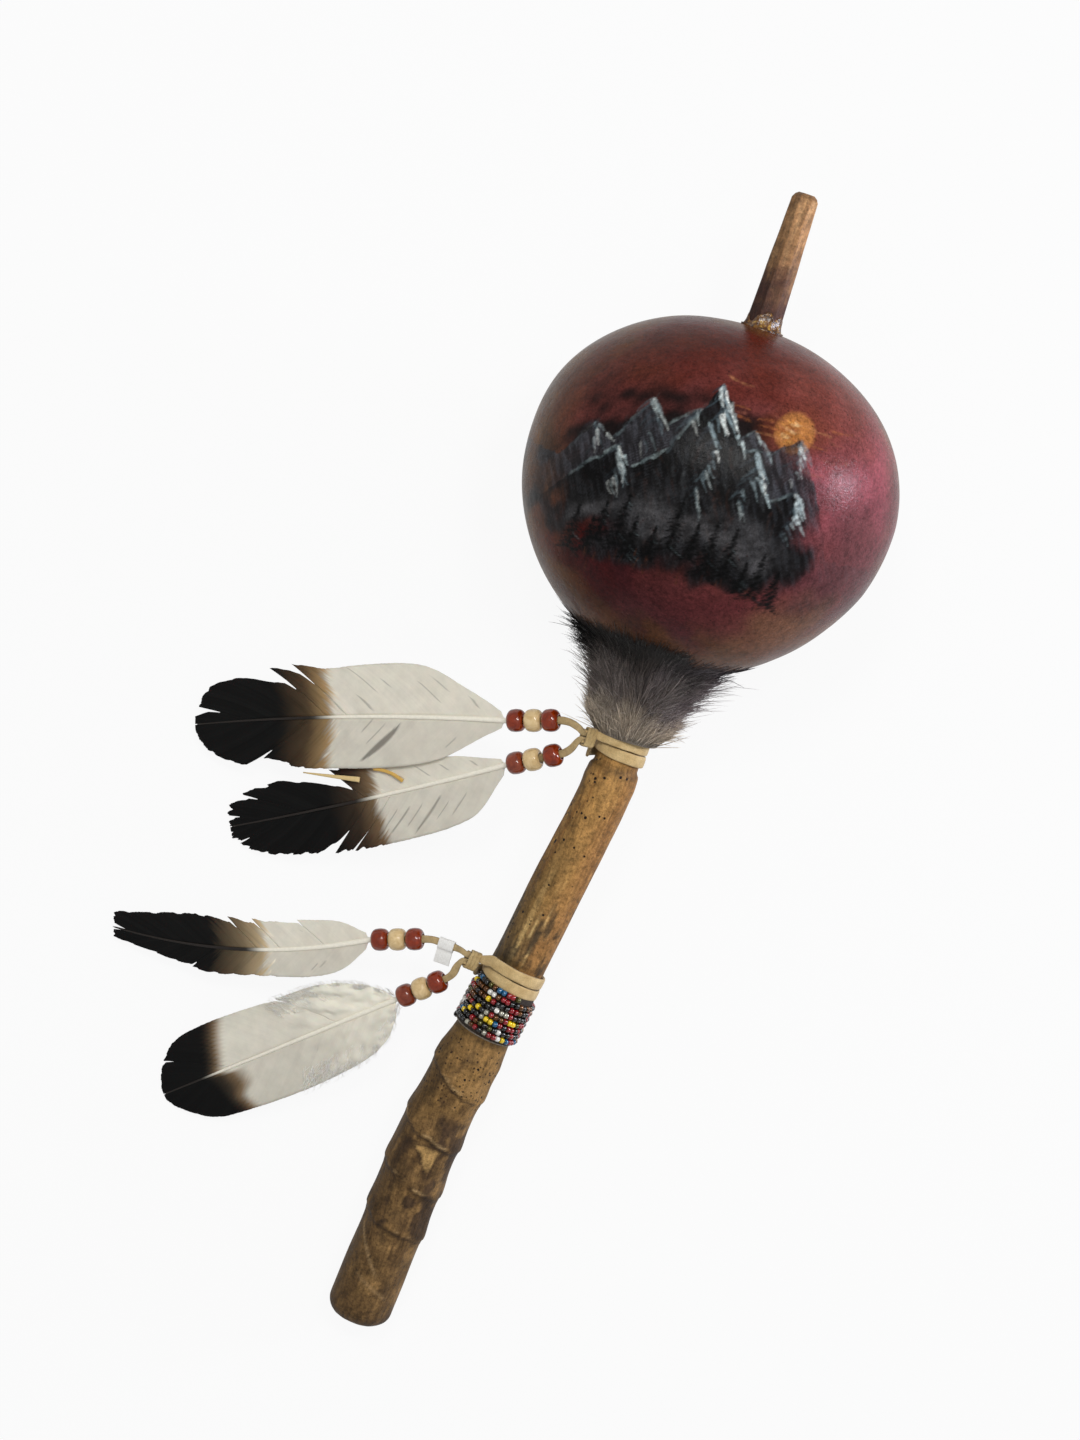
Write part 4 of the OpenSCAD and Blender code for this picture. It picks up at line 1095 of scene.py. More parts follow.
# wood colours: warm above on the right, weathered towards the lower wrap, stained on the grip; painted
# shade down the left side and a painted highlight streak near the top
spot = here.reshape(-1, 3)
long = np.broadcast_to(s[:, None], radius.shape).ravel()
right = np.broadcast_to(np.sin(turn), radius.shape).ravel()
swing = np.broadcast_to(np.where(turn > math.pi, turn - 2 * math.pi, turn), radius.shape).ravel()
wood = np.repeat(srgb(142, 108, 62)[None], len(long), 0)


def tint(share, *tone):
    # share of a colour over the wood that is there: stains, and painted light and shade too
    wood[:] += np.clip(share, 0, 1)[:, None] * (srgb(*tone) - wood)


upper = 1 - smoothStep(long, bandAt - 30, bandAt + 10)
warm = upper * smoothStep(right + 0.3 * ripple(spot, 26, 61), -0.05, 0.6)
worn = (
    smoothStep(long + 14 * ripple(spot, 18, 62), shankAt + 38, shankAt + 78)
    * (1 - smoothStep(long, bandAt - 6, bandAt + 4))
)
tint(0.9 * upper, 178, 134, 76)
tint(0.7 * warm, 146, 103, 60)
# painted shade: the stick's left side, away from the window, darker
tint(0.8 * smoothStep(-right + 0.45 * ripple(spot, 22, 63), 0.1, 0.95), 112, 86, 48)
streak = np.stack([spot[:, 0] * 0.16, spot[:, 1], spot[:, 2]], -1)
tint(0.5 * smoothStep(ripple(streak, 4, 64), 0.2, 0.7) * upper, 116, 78, 40)
tint(0.6 * worn * smoothStep(-right + 0.8 * ripple(spot, 9, 68, 5), -0.2, 0.6), 96, 80, 54)
middle = smoothStep(0.55 - np.abs(right + 0.1), 0, 0.4)
tint(0.85 * worn * smoothStep(ripple(streak, 5.5, 65, 5), 0.12, 0.5) * middle, 222, 188, 126)
# painted highlight: a narrow pale streak along the upper shank
paintedHighlight = (
    0.4 * smoothStep(long, shankAt + 8, shankAt + 30) * upper * np.exp(-(((swing + 0.45) / 0.16) ** 2))
)
tint(paintedHighlight * smoothStep(ripple(streak, 6, 66), -0.3, 0.3), 208, 170, 108)
tint(0.75 * worn * smoothStep(ripple(spot, 8, 67, 5), 0.2, 0.6), 62, 52, 38)
# the grip: mottled, with dark stains on its right and between the scars, and painted shade on its left
gripped = smoothStep(long, bandAt + 20, bandAt + 30)
tint(0.85 * smoothStep(long + 5 * ripple(spot, 16, 77), bandAt + 44, bandAt + 70), 104, 79, 48)
tint(0.6 * gripped * smoothStep(ripple(spot, 9, 71), 0.0, 0.5), 84, 62, 37)
tint(0.4 * gripped * smoothStep(ripple(spot, 6, 72), 0.25, 0.6), 160, 124, 76)
between = (
    smoothStep(long + 4 * ripple(spot, 9, 73), bandAt + 50, bandAt + 60)
    * (1 - smoothStep(long + 4 * ripple(spot, 9, 74), gripAt + 44, gripAt + 52))
)
stained = smoothStep(ripple(spot, 10, 69) + 0.75 * smoothStep(right, 0.05, 0.8), 0.3, 0.62)
tint(0.85 * between * stained, 62, 46, 32)
# painted shade: the grip's left side darker
tint(0.6 * gripped * smoothStep(-right + 0.4 * ripple(spot, 12, 75), 0.25, 0.9), 80, 60, 36)
# a pale flake that has come off between two scars: three straight edges
flakeU = long - (gripAt + 4.5) + 1.1 * ripple(spot, 7, 78)
flakeV = 14 * swing - 1.5 + 0.9 * ripple(spot, 6, 79)
flakeIn = 10.5 - flakeU - 1.7 * np.abs(flakeV - 0.25 * flakeU)
flake = smoothStep(flakeU, -0.9, 0.9) * smoothStep(flakeIn + 1.2, 0, 3.0)
ring = smoothStep(flakeU, -2.2, -0.8) * smoothStep(flakeIn + 6.5, 0, 5) * (np.abs(flakeV) < 12)
tint(0.7 * ring, 58, 42, 29)
tint(0.95 * flake, 178, 142, 88)
tint(0.8 * scarLine.ravel(), 48, 35, 24)
tint(0.7 * scarEdge.ravel(), 186, 154, 108)
# thin pale scratches that cross the end
for at, bow, side, strength in ((gripAt + 56, 16, -0.55, 0.5), (gripAt + 72, 6, 0.1, 0.25)):
    off = long - at - bow * (swing - side)
    scratch = strength * np.exp(-((off / 0.9) ** 2)) * smoothStep(0.75 - np.abs(swing - side), 0, 0.3)
    tint(scratch, 188, 156, 112)
tint(0.6 * smoothStep(long + 2.5 * ripple(spot, 9, 76), total - 15, total - 3), 66, 49, 32)
wrapShade = (
    np.exp(-(((long - 31.5) / 2.2) ** 2)) + np.exp(-(((long - (bandAt - 16.3)) / 2.0) ** 2))
    + np.exp(-(((long - (bandAt + 20.2)) / 1.8) ** 2))
)
wood *= (1 - 0.45 * np.clip(wrapShade, 0, 1))[:, None]
belowBand = (
    1.2 * smoothStep(long, bandAt + 18, bandAt + 24) * (1 - smoothStep(long, bandAt + 44, bandAt + 60))
)
pitted = np.clip(upper * (1 - 0.8 * warm) + 0.35 * upper + belowBand, 0.05, 1)
paintPoints(grip, "woodColour", np.concatenate([wood, wood[[0, -1]]]))
paintPoints(grip, "pitShare", np.concatenate([pitted, [0.0, 0.0]]))
dotted = (
    smoothStep(long, bandAt + 20, bandAt + 26)
    * (1 - smoothStep(long + 4 * ripple(spot, 12, 80), bandAt + 48, bandAt + 62))
)
paintPoints(grip, "dotShare", np.concatenate([dotted, [0.0, 0.0]]))
dress(grip, handleWood, "rattle", "stick", "handle_stick")

# whittled end: eight knife-cut flats, tapering out of the gourd's top
whittled = {
    "levels": [(-60, 16.6), (65, 14.4), (119.5, 11.0), (121.0, 9.4), (122, 6.8)], "faces": 8,
    "around": 64, "cornerCut": 1.064,
}
t = np.concatenate([
    np.linspace(-60, 60, 16)[:-1], np.linspace(60, 119.5, 70), [120.3, 121.0, 121.6, 122.0],
])
flats = np.interp(t, [v[0] for v in whittled["levels"]], [v[1] for v in whittled["levels"]])
turn = ringAngles(whittled["around"])
faceSlice = 2 * math.pi / whittled["faces"]
face = np.round(turn / faceSlice).astype(int) % whittled["faces"]
inFace = turn - np.round(turn / faceSlice) * faceSlice
knife = 0.012 * ripple(np.stack(np.broadcast_arrays(t[:, None] / 30, face * 3.7), -1), 1.0, 71, 2)
radius = flats[:, None] / 2 * (1 + knife) * np.minimum(1 / np.cos(inFace), whittled["cornerCut"])
rings = np.stack([
    radius * np.sin(turn), np.broadcast_to(t[:, None], radius.shape), radius * np.cos(turn),
], -1)
tip = addTube("whittledEnd", toTable(rings), smooth=False)
high = np.broadcast_to(t[:, None], radius.shape).ravel()
spot = rings.reshape(-1, 3)
wood = np.repeat(srgb(168, 124, 82)[None], len(high), 0)
foot = 1 - smoothStep(high + 5 * ripple(spot, 18, 73), 76, 104)
tint(0.94 * foot, 70, 40, 36)
palest = smoothStep(ripple(spot * [1, 0.12, 1], 3.2, 75), 0.1, 0.6) * (1 - foot)
tint(0.5 * palest, 196, 154, 108)
# painted shade: faces turned left, away from the window, darker; those turned right a little lighter
faceWay = np.sin(face * faceSlice)  # left faces are the darkest
faceShade = 0.92 + 0.52 * np.minimum(faceWay, 0) + 0.1 * np.maximum(faceWay, 0)
wood *= np.tile(faceShade, len(t))[:, None]
tint(0.5 * smoothStep(high, 119, 121), 104, 74, 46)
paintPoints(tip, "woodColour", np.concatenate([wood, wood[[0, -1]]]))
paintPoints(tip, "pitShare", np.full(len(wood) + 2, 0.3))
paintPoints(tip, "dotShare", np.zeros(len(wood) + 2))
dress(tip, tipWood, "rattle", "stick")
print("handle done")

# glue: a lumpy amber collar where the stick leaves the gourd
glue = {"spread": 2.4, "climb": 6.4, "around": 72}
turn = ringAngles(glue["around"])
u = np.linspace(0, 1, 12)
lump = 0.75 + 0.3 * np.sin(2 * turn + 0.8) + 0.2 * np.sin(5 * turn + 2.1) + 0.12 * np.sin(9 * turn)
stickR = 7.0 * np.minimum(1 / np.cos(turn - np.round(turn / faceSlice) * faceSlice), 1.07)
flow = glue["spread"] * np.clip(lump, 0.35, 1.1)
outside = stickR + 0.25 + flow * (1 - np.sin(u * math.pi / 2)[:, None])
seat = rim - (np.maximum(outside, 8) - 8) * 0.06
rise = 0.15 + (glue["climb"] * np.clip(lump, 0.3, 1.15)) * (1 - np.cos(u * math.pi / 2))[:, None]
beadEdge = 0.55 * np.exp(-((u / 0.18) ** 2))[:, None]
skinRings = np.stack([outside * np.sin(turn), seat + rise + beadEdge, outside * np.cos(turn)], -1)
inner = np.stack([(stickR - 0.4) * np.sin(turn), rim + rise[-1], (stickR - 0.4) * np.cos(turn)], -1)
under = np.stack([(stickR - 0.4) * np.sin(turn), 0 * turn + rim - 0.6, (stickR - 0.4) * np.cos(turn)], -1)
floorRing = skinRings[0] - [0, 1.1, 0]
collarRings = np.concatenate([floorRing[None], skinRings, inner[None], under[None]])
faces = gridFaces(len(collarRings), glue["around"], True, True)
collar = addPiece("glueCollar", toTable(collarRings), [faces])
amber, tree, shader = newFinish(
    "amberGlue",
    {"Roughness": 0.28, "Specular IOR Level": 0.4, "Coat Weight": 0.25, "Coat Roughness": 0.1},
)
place = objectPlace(tree)
clouded = noiseOf(tree, place, 0.42, 4, 0.6, 0.8)
colour = rampOf(
    tree, clouded, (0.4, rgba(54, 31, 19)), (0.56, rgba(110, 70, 23)), (0.74, rgba(204, 164, 66)),
)
tree.links.new(colour, shader.inputs["Base Color"])
tree.links.new(bumpOf(tree, noiseOf(tree, place, 0.7, 3), 0.6, 0.0012), shader.inputs["Normal"])
dress(collar, amber, "rattle", "glue", "tip_glue")

# fur cuff: dark skin under thousands of tapered hairs that run from the wrap up over the gourd
fur = {
    "hairs": 21000, "packs": 3, "seed": 23, "thick": 0.16, "end": 111.1, "tucked": 2.6,
    # mean and spread
    "size": (15, 3.0), "lean": (31, 6), "tuftSize": (12.5, 2.5), "tuftLean": (66, 9),
    # share of stray hairs; the first pendant's furthest swing, and the room for its bead
    "wisps": 0.05, "swing": -40, "beadRoom": 6.6,
}


def furStop(turn):
    # the fur's upper edge: highest in front and behind, lower at the sides
    return -67.5 + 0.3 * np.sin(turn) - 4.8 * np.sin(turn) ** 2


def hideRadius(t):
    # a cone that opens towards the gourd, never inside the gourd's skin
    cone = np.maximum(10.0 + 0.45 * (t + fur["end"]), 10.5)
    return np.maximum(cone, gourdRadius(t) + 0.7)


turn = ringAngles(64)
furFoot = -fur["end"] - fur["tucked"]
t = furFoot + np.linspace(0, 1, 30)[:, None] * (furStop(turn) - 2 - furFoot)
skinR = hideRadius(t)
innerR = np.maximum(np.where(t < -104.4, 9.9, gourdRadius(t) + 0.25), 9.9)
profile = np.concatenate([skinR, innerR[::-1]])
profileT = np.concatenate([t, t[::-1]])
hide = np.stack([profile * np.sin(turn), profileT, profile * np.cos(turn)], -1)
hideTable = toTable(hide)
furSkin = addPiece("furHide", hideTable, [gridFaces(len(profile), len(turn), True, True)])


def furTone(t, turn, share, own):
    # dark along the gourd, taupe in the middle, pale by the wrap; roots darker than tips
    place = np.stack(np.broadcast_arrays(t * 0.5, 14 * np.sin(turn), 14 * np.cos(turn)), -1)
    up = smoothStep(t + 3.5 * ripple(place, 9, 81), -96, -76)[..., None]
    low = (1 - smoothStep(t + 3 * ripple(place, 8, 83), -109, -98))[..., None]
    tone = srgb(124, 114, 109) + up * (srgb(18, 13, 9) - srgb(124, 114, 109))
    mauve = smoothStep(np.sin(turn) + 0.4 * ripple(place, 12, 85), 0.2, 0.9)[..., None]
    tone = tone + 0.45 * mauve * (1 - 0.4 * up) * (srgb(136, 124, 130) - tone)
    tone = tone + low * (srgb(190, 175, 156) - tone)
    return tone * (0.62 + 0.5 * share)[..., None] * (1 + 0.22 * own)[..., None]


gen = np.random.default_rng(fur["seed"])
hideTone = 0.7 * furTone(profileT, np.broadcast_to(turn, profileT.shape), 0 * profileT, 0 * profileT)
paintPoints(furSkin, "hairTone", hideTone.reshape(-1, 3))
furFinish, tree, shader = newFinish(
    "furHair",
    {"Roughness": 0.5, "Specular IOR Level": 0.16, "Sheen Weight": 0.1, "Sheen Roughness": 0.4},
)
fine = rampOf(tree, noiseOf(tree, objectPlace(tree), 1.4, 3), (0.3, 0.85), (0.7, 1.12))
tree.links.new(
    mixOf(tree, 1.0, attributeOf(tree, "hairTone"), fine, "MULTIPLY"), shader.inputs["Base Color"],
)
dress(furSkin, furFinish, "rattle", "fur", "fur_cuff")

# each hair: root on the hide, leaning up the cone, 4 rings of 3 points and a tip
count = fur["hairs"]
upShare = gen.random(count) ** 1.25
around = gen.uniform(-math.pi, math.pi, count)
root = furFoot + (furStop(around) - 2.5 - furFoot) * upShare
size = gen.normal(*fur["size"], count) * (0.75 + 0.35 * smoothStep(root, -110, -95))
lean = np.radians(gen.normal(*fur["lean"], count))
wisp = gen.random(count) < fur["wisps"]
lean = np.where(wisp, lean + np.radians(gen.uniform(8, 38, count)), lean)
size = np.where(wisp, size * gen.uniform(0.9, 1.25, count), size)
clump = ripple(np.stack([root * 0.4, 16 * np.sin(around), 16 * np.cos(around)], -1), 7, 87)
lean += 0.12 * clump
waves = ripple(np.stack([root * 0.3, 16 * np.sin(around), 16 * np.cos(around)], -1), 10, 89)
sway = gen.normal(0, 0.1, count) + 0.16 * waves
# a dark tuft stands out on the left below the gourd
tuft = (np.abs(np.sin(around) + 1) < 0.22) & (root > -85) & (root < -74) & (gen.random(count) < 0.6)
lean = np.where(tuft, np.radians(gen.normal(*fur["tuftLean"], count)), lean)
size = np.where(tuft, gen.normal(*fur["tuftSize"], count), size)
# hairs stop soon after they reach the gourd
stop = furStop(around) + gen.normal(0, 2.2, count)
size = np.where(tuft, size, np.clip(np.minimum(size, (stop - root) / np.cos(lean)), 3.5, None))
step = np.array([0.0, 0.3, 0.6, 0.85, 1.0])
rootR = hideRadius(root) - 0.3
bend = gen.normal(0.0, 0.16, count)
hairT = root[:, None] + size[:, None] * step * np.cos(lean[:, None] + bend[:, None] * step)
hairR = rootR[:, None] + size[:, None] * step * np.sin(lean[:, None] + bend[:, None] * step)
clear = gourdRadius(hairT) + 0.35 + 1.1 * gen.random(count)[:, None] * np.sin(step * math.pi * 0.9)
hairR = np.where(hairT > -100, np.maximum(hairR, clear), hairR)
hairTurn = around[:, None] + sway[:, None] * step**1.4 * size[:, None] / np.maximum(hairR, 12)
spine = np.stack([hairR * np.sin(hairTurn), hairT, hairR * np.cos(hairTurn)], -1)
outward = np.stack([np.sin(hairTurn), 0 * hairTurn, np.cos(hairTurn)], -1)
thick = (fur["thick"] * gen.uniform(0.6, 1.25, count))[:, None] * np.array([0.9, 1.0, 0.75, 0.45, 0.0])
table = toTable(strandPoints(spine, outward, thick, 0.5))
table[..., 2] = np.maximum(table[..., 2], 0.2)
share = np.concatenate([np.repeat(step[:4], 3), [1.0]])
own = gen.normal(0, 1, count).clip(-1.6, 1.6)
heres = np.broadcast_arrays(root[:, None] + 5 * share, around[:, None], share, own[:, None])
tones = furTone(*heres)
tones = np.where(tuft[:, None, None], 0.45 * tones, np.where(wisp[:, None, None], 1.5 * tones, tones))
# hairs in the way of the first pendant's swing towards the gourd are cut out
swing = np.radians(np.linspace(0, fur["swing"], 12))
fromHinge = onPendant(0, [beadPlace(0, 0), pendants["shift"][0], 0]) - pendants["exits"][0]
passing = pendants["exits"][0] + np.stack([
    fromHinge[0] * np.cos(swing) - fromHinge[1] * np.sin(swing),
    fromHinge[0] * np.sin(swing) + fromHinge[1] * np.cos(swing),
    fromHinge[2] + 0 * swing,
], -1)
inWay = (np.linalg.norm(table[:, :, None] - passing, axis=-1) < fur["beadRoom"]).any((1, 2))
for pack in range(fur["packs"]):
    chosen = np.arange(pack, count, fur["packs"])
    chosen = chosen[~inWay[chosen]]
    hair = addPiece(f"furHair{pack + 1}", table[chosen], strandFaces(4, len(chosen)))
    paintPoints(hair, "hairTone", tones[chosen].reshape(-1, 3))
    dress(hair, furFinish, "rattle", "fur")
print("fur done")

# feathers: a shaft and two vanes each; a vane is a thin sheet of barbs, parted into locks at its cuts
# edges are (share of the length, half width); cuts are (side, root of the cut, how far it opens,
# how deep it reaches in from the edge, how short the next barbs are, over which share of the length);
# marks are painted shade, thin dark lines where shadowed slits would be (side, root, from, to, half
# width)
feathers = [
    {
        "long": 146, "soft": 0, "bend": -1, "sag": -2.2, "brown": 0.545, "black": 0.71, "vee": -0.03,
        "lowBrown": 0.0, "shaftDark": 0.565, "seed": 101, "fray": 0.006, "rag": 0.02, "fluff": 0,
        "tan": (160, 132, 92), "umber": (76, 61, 43),
        "up": [
            (0, 2.2), (0.07, 8.6), (0.14, 14), (0.205, 19.2), (0.25, 21.6), (0.32, 22.8), (0.4, 22.6),
            (0.5, 21.6), (0.58, 21), (0.67, 23), (0.75, 22), (0.82, 21), (0.9, 21), (0.95, 16),
            (0.975, 12), (0.99, 8), (1, 3),
        ],
        "down": [
            (0, 2.2), (0.07, 7.2), (0.14, 12.8), (0.2, 17), (0.3, 20.4), (0.4, 21.8), (0.55, 22),
            (0.64, 21.6), (0.73, 19.6), (0.83, 19.4), (0.9, 16.4), (0.955, 11.6), (0.985, 6.5), (1, 2),
        ],
        "cuts": [
            (1, 0.5, 1.2, 0.3, 0.2, 0.045), (1, 0.565, 1.6, 0.34, 0.32, 0.14),
            (1, 0.82, 1.6, 0.32, 0.28, 0.06), (-1, 0.62, 1.2, 0.25, 0.2, -0.1),
        ],
        "marks": [
            (1, 0.06, 0.3, 0.62, 0.35), (1, 0.1, 0.4, 0.78, 0.3), (1, 0.16, 0.25, 0.6, 0.35),
            (1, 0.27, 0.55, 0.7, 0.4), (1, 0.4, 0.05, 0.42, 0.6), (1, 0.33, 0.4, 0.99, 0.25),
            (-1, 0.31, 0.12, 0.86, 2.2), (-1, 0.36, 0.1, 0.5, 0.4), (-1, 0.1, 0.3, 0.7, 0.3),
            (1, 0.5, 0.02, 0.4, 0.3), (-1, 0.41, 0.02, 0.3, 0.35),
        ],
    },
    {
        "long": 136, "soft": 0, "bend": -2.5, "sag": 1.8, "brown": 0.465, "black": 0.63, "vee": 0.01,
        "lowBrown": 0.0, "shaftDark": 0.485, "seed": 102, "fray": 0.02, "rag": 0.1, "fluff": 0,
        "tan": (120, 98, 72), "umber": (58, 47, 36),
        "up": [
            (0, 2.2), (0.06, 4.6), (0.14, 8), (0.25, 11), (0.35, 12.6), (0.47, 14), (0.6, 15.4),
            (0.7, 15.2), (0.79, 15.6), (0.88, 14.6), (0.94, 13), (0.98, 10.5), (1, 7),
        ],
        "down": [
            (0, 2.2), (0.04, 6.6), (0.08, 11.6), (0.13, 16.6), (0.2, 19.4), (0.35, 20.8), (0.5, 21),
            (0.6, 20.6), (0.72, 18.8), (0.8, 17.2), (0.88, 15), (0.94, 11.8), (0.98, 8), (1, 5),
        ],
        "cuts": [
            (-1, 0.41, 0.8, 0.5, 0.02, 0.03), (-1, 0.49, 1.8, 0.3, 0.24, 0.05),
            (-1, 0.8, 0.6, 0.2, 0.1, 0.04), (1, 0.5, 2.6, 0.5, 0.55, 0.12),
            (1, 0.73, 0.8, 0.2, 0.12, 0.05), (1, 0.86, 1.0, 0.2, 0.16, 0.05),
        ],
        "marks": [
            (1, 0.08, 0.3, 0.7, 0.35), (1, 0.17, 0.3, 0.6, 0.3), (1, 0.24, 0.2, 0.7, 0.35),
            (-1, 0.2, 0.2, 0.9, 1.0), (-1, 0.3, 0.25, 0.85, 0.7), (-1, 0.345, 0.3, 0.85, 0.6),
            (-1, 0.255, 0.3, 0.7, 0.4), (-1, 0.1, 0.3, 0.7, 0.45), (-1, 0.15, 0.4, 0.7, 0.35),
            (1, 0.32, 0.3, 0.5, 0.35),
        ],
    },
    {
        "long": 119, "soft": 0, "bend": 7, "sag": 5.2, "brown": 0.4, "black": 0.6, "vee": -0.02,
        "lowBrown": 0.0, "shaftDark": 0.43, "seed": 103, "fray": 0.014, "rag": 0.05, "fluff": 0,
        "tan": (182, 162, 128), "umber": (112, 97, 74),
        "up": [
            (0, 2.2), (0.045, 5.2), (0.085, 8.2), (0.13, 10.2), (0.21, 11.6), (0.28, 12.2), (0.36, 12),
            (0.45, 13), (0.55, 13.4), (0.7, 13.2), (0.8, 11.8), (0.9, 9.4), (0.96, 8), (1, 6.4),
        ],
        "down": [
            (0, 2.2), (0.045, 6), (0.085, 9.2), (0.13, 11.2), (0.21, 12.2), (0.3, 12), (0.42, 11.2),
            (0.55, 11.4), (0.64, 11), (0.7, 9.8), (0.8, 7.2), (0.9, 5.4), (0.96, 4.8), (1, 4),
        ],
        "cuts": [
            (1, 0.17, 0.4, 0.2, 0.12, 0.08), (1, 0.34, 0.5, 0.22, 0.15, 0.07),
            (1, 0.43, 0.6, 0.25, 0.14, 0.08), (-1, 0.6, 0.4, 0.2, 0.1, 0.05),
            (1, 0.93, 1.6, 0.6, 0.5, 0.04), (-1, 0.95, 1.2, 0.6, 0.4, 0.03),
        ],
        "marks": [(-1, 0.12, 0.35, 0.8, 0.35), (-1, 0.145, 0.5, 0.75, 0.3), (1, 0.2, 0.5, 0.8, 0.25)],
    },
    {
        "long": 119, "soft": 0.16, "bend": 0.5, "sag": 0, "brown": 0.752, "black": 0.822, "vee": 0.075,
        "lowBrown": 0.06, "shaftDark": 0.785, "seed": 104, "fray": 0.003, "rag": 0.012, "fluff": 0.5,
        "tan": (126, 104, 78), "umber": (58, 50, 40),
        "up": [
            (0, 2.4), (0.03, 5), (0.06, 8), (0.16, 14.6), (0.27, 18.6), (0.4, 19.6), (0.54, 20.6),
            (0.69, 21.6), (0.8, 21.4), (0.88, 19.6), (0.935, 15), (0.972, 9.5), (0.99, 5), (1, 2),
        ],
        "down": [
            (0, 2.4), (0.03, 7), (0.1, 14.6), (0.2, 18.8), (0.3, 20.4), (0.42, 21.2), (0.55, 21.2),
            (0.66, 20.6), (0.75, 19.8), (0.82, 18.6), (0.89, 15), (0.945, 10), (0.985, 5), (1, 2),
        ],
        "cuts": [(1, 0.71, 0.4, 0.14, 0.06, 0.03), (1, 0.25, 0.5, 0.2, 0.05, 0.04)],
        "marks": [(1, 0.62, 0.45, 0.75, 0.3), (1, 0.6, 0.5, 0.6, 0.3), (-1, 0.3, 0.2, 0.4, 0.25)],
    },
]
vanes = {
    "barbs": 210, "rows": 14, "thick": 0.14, "camber": 1.1, "steep": 47, "flat": 9, "curl": 0.42,
    "ridge": 0.03, "stride": 0.3, "longest": 74,
}


def vaneEdge(f, edge, x):
    # half width at x, on the spline through the edge's points
    drawn = curveThrough(np.array(edge, float) * [f["long"], 1], 260)
    return np.interp(x, drawn[:, 0], drawn[:, 1])


def featherTone(f, u, out, own, side):
    # white, then a band of brown that darkens to black; borders run streaky along the barbs
    at = u + 0.45 * (f["black"] - f["brown"]) ** 2 * own + f["vee"] * out
    start = (
        f["brown"]
        - f["lowBrown"] * (side < 0) * smoothStep(out, 0.04, 0.14) * (1 - smoothStep(out, 0.35, 0.7))
    )
    run = (at - start) / (f["black"] - start)
    stops = [-0.1 - f["soft"], 0.07 + f["soft"], 0.45 + f["soft"], 1.0, 4.0]
    tones = np.stack([
        srgb(226, 220, 205), srgb(*f["tan"]), srgb(*f["umber"]), srgb(15, 15, 14), srgb(12, 12, 12),
    ])
    tone = np.stack([np.interp(run, stops, tones[:, k]) for k in range(3)], -1)
    tone = tone * (1 - 0.11 * (side < 0) + 0.4 * f["fluff"] * (1 - smoothStep(u, 0.1, 0.45)))[..., None]
    streaky = np.where(run < -0.08, 0.022, 0.3 - 0.8 * f["soft"])
    return tone * (1 + streaky * own)[..., None]


vaneFinish, tree, shader = newFinish(
    "vaneFinish",
    {
        "Roughness": 0.6, "Specular IOR Level": 0.12, "Sheen Weight": 0.03, "Sheen Roughness": 0.4,
        "Subsurface Weight": 0.08, "Subsurface Scale": 0.001,
    },
)
fine = rampOf(tree, noiseOf(tree, objectPlace(tree), 0.12, 4, 0.65), (0.3, 0.9), (0.65, 1.03))
tree.links.new(
    mixOf(tree, 1.0, attributeOf(tree, "vaneTone"), fine, "MULTIPLY"), shader.inputs["Base Color"],
)
shaftFinish, tree, shader = newFinish(
    "shaftFinish",
    {"Roughness": 0.3, "Specular IOR Level": 0.4, "Coat Weight": 0.1, "Coat Roughness": 0.2},
)
horn = rampOf(tree, noiseOf(tree, objectPlace(tree), 0.7, 3), (0.3, 0.94), (0.7, 1.03))
tree.links.new(
    mixOf(tree, 1.0, attributeOf(tree, "shaftTone"), horn, "MULTIPLY"), shader.inputs["Base Color"],
)


def onFeather(i, p):
    # x from the vane's root along the shaft, y towards the gourd; the shaft bends by u squared and sags
    f = feathers[i]
    p = np.asarray(p, float)
    root = beadPlace(i, 2) + 4.7
    u = np.clip(p[..., 0] / f["long"], 0, None)
    bent = p[..., 1] + f["bend"] * u**2 - 4 * f["sag"] * u * (1 - u)
    return onPendant(i, np.stack([p[..., 0] + root, bent + pendants["shift"][i], p[..., 2]], -1))


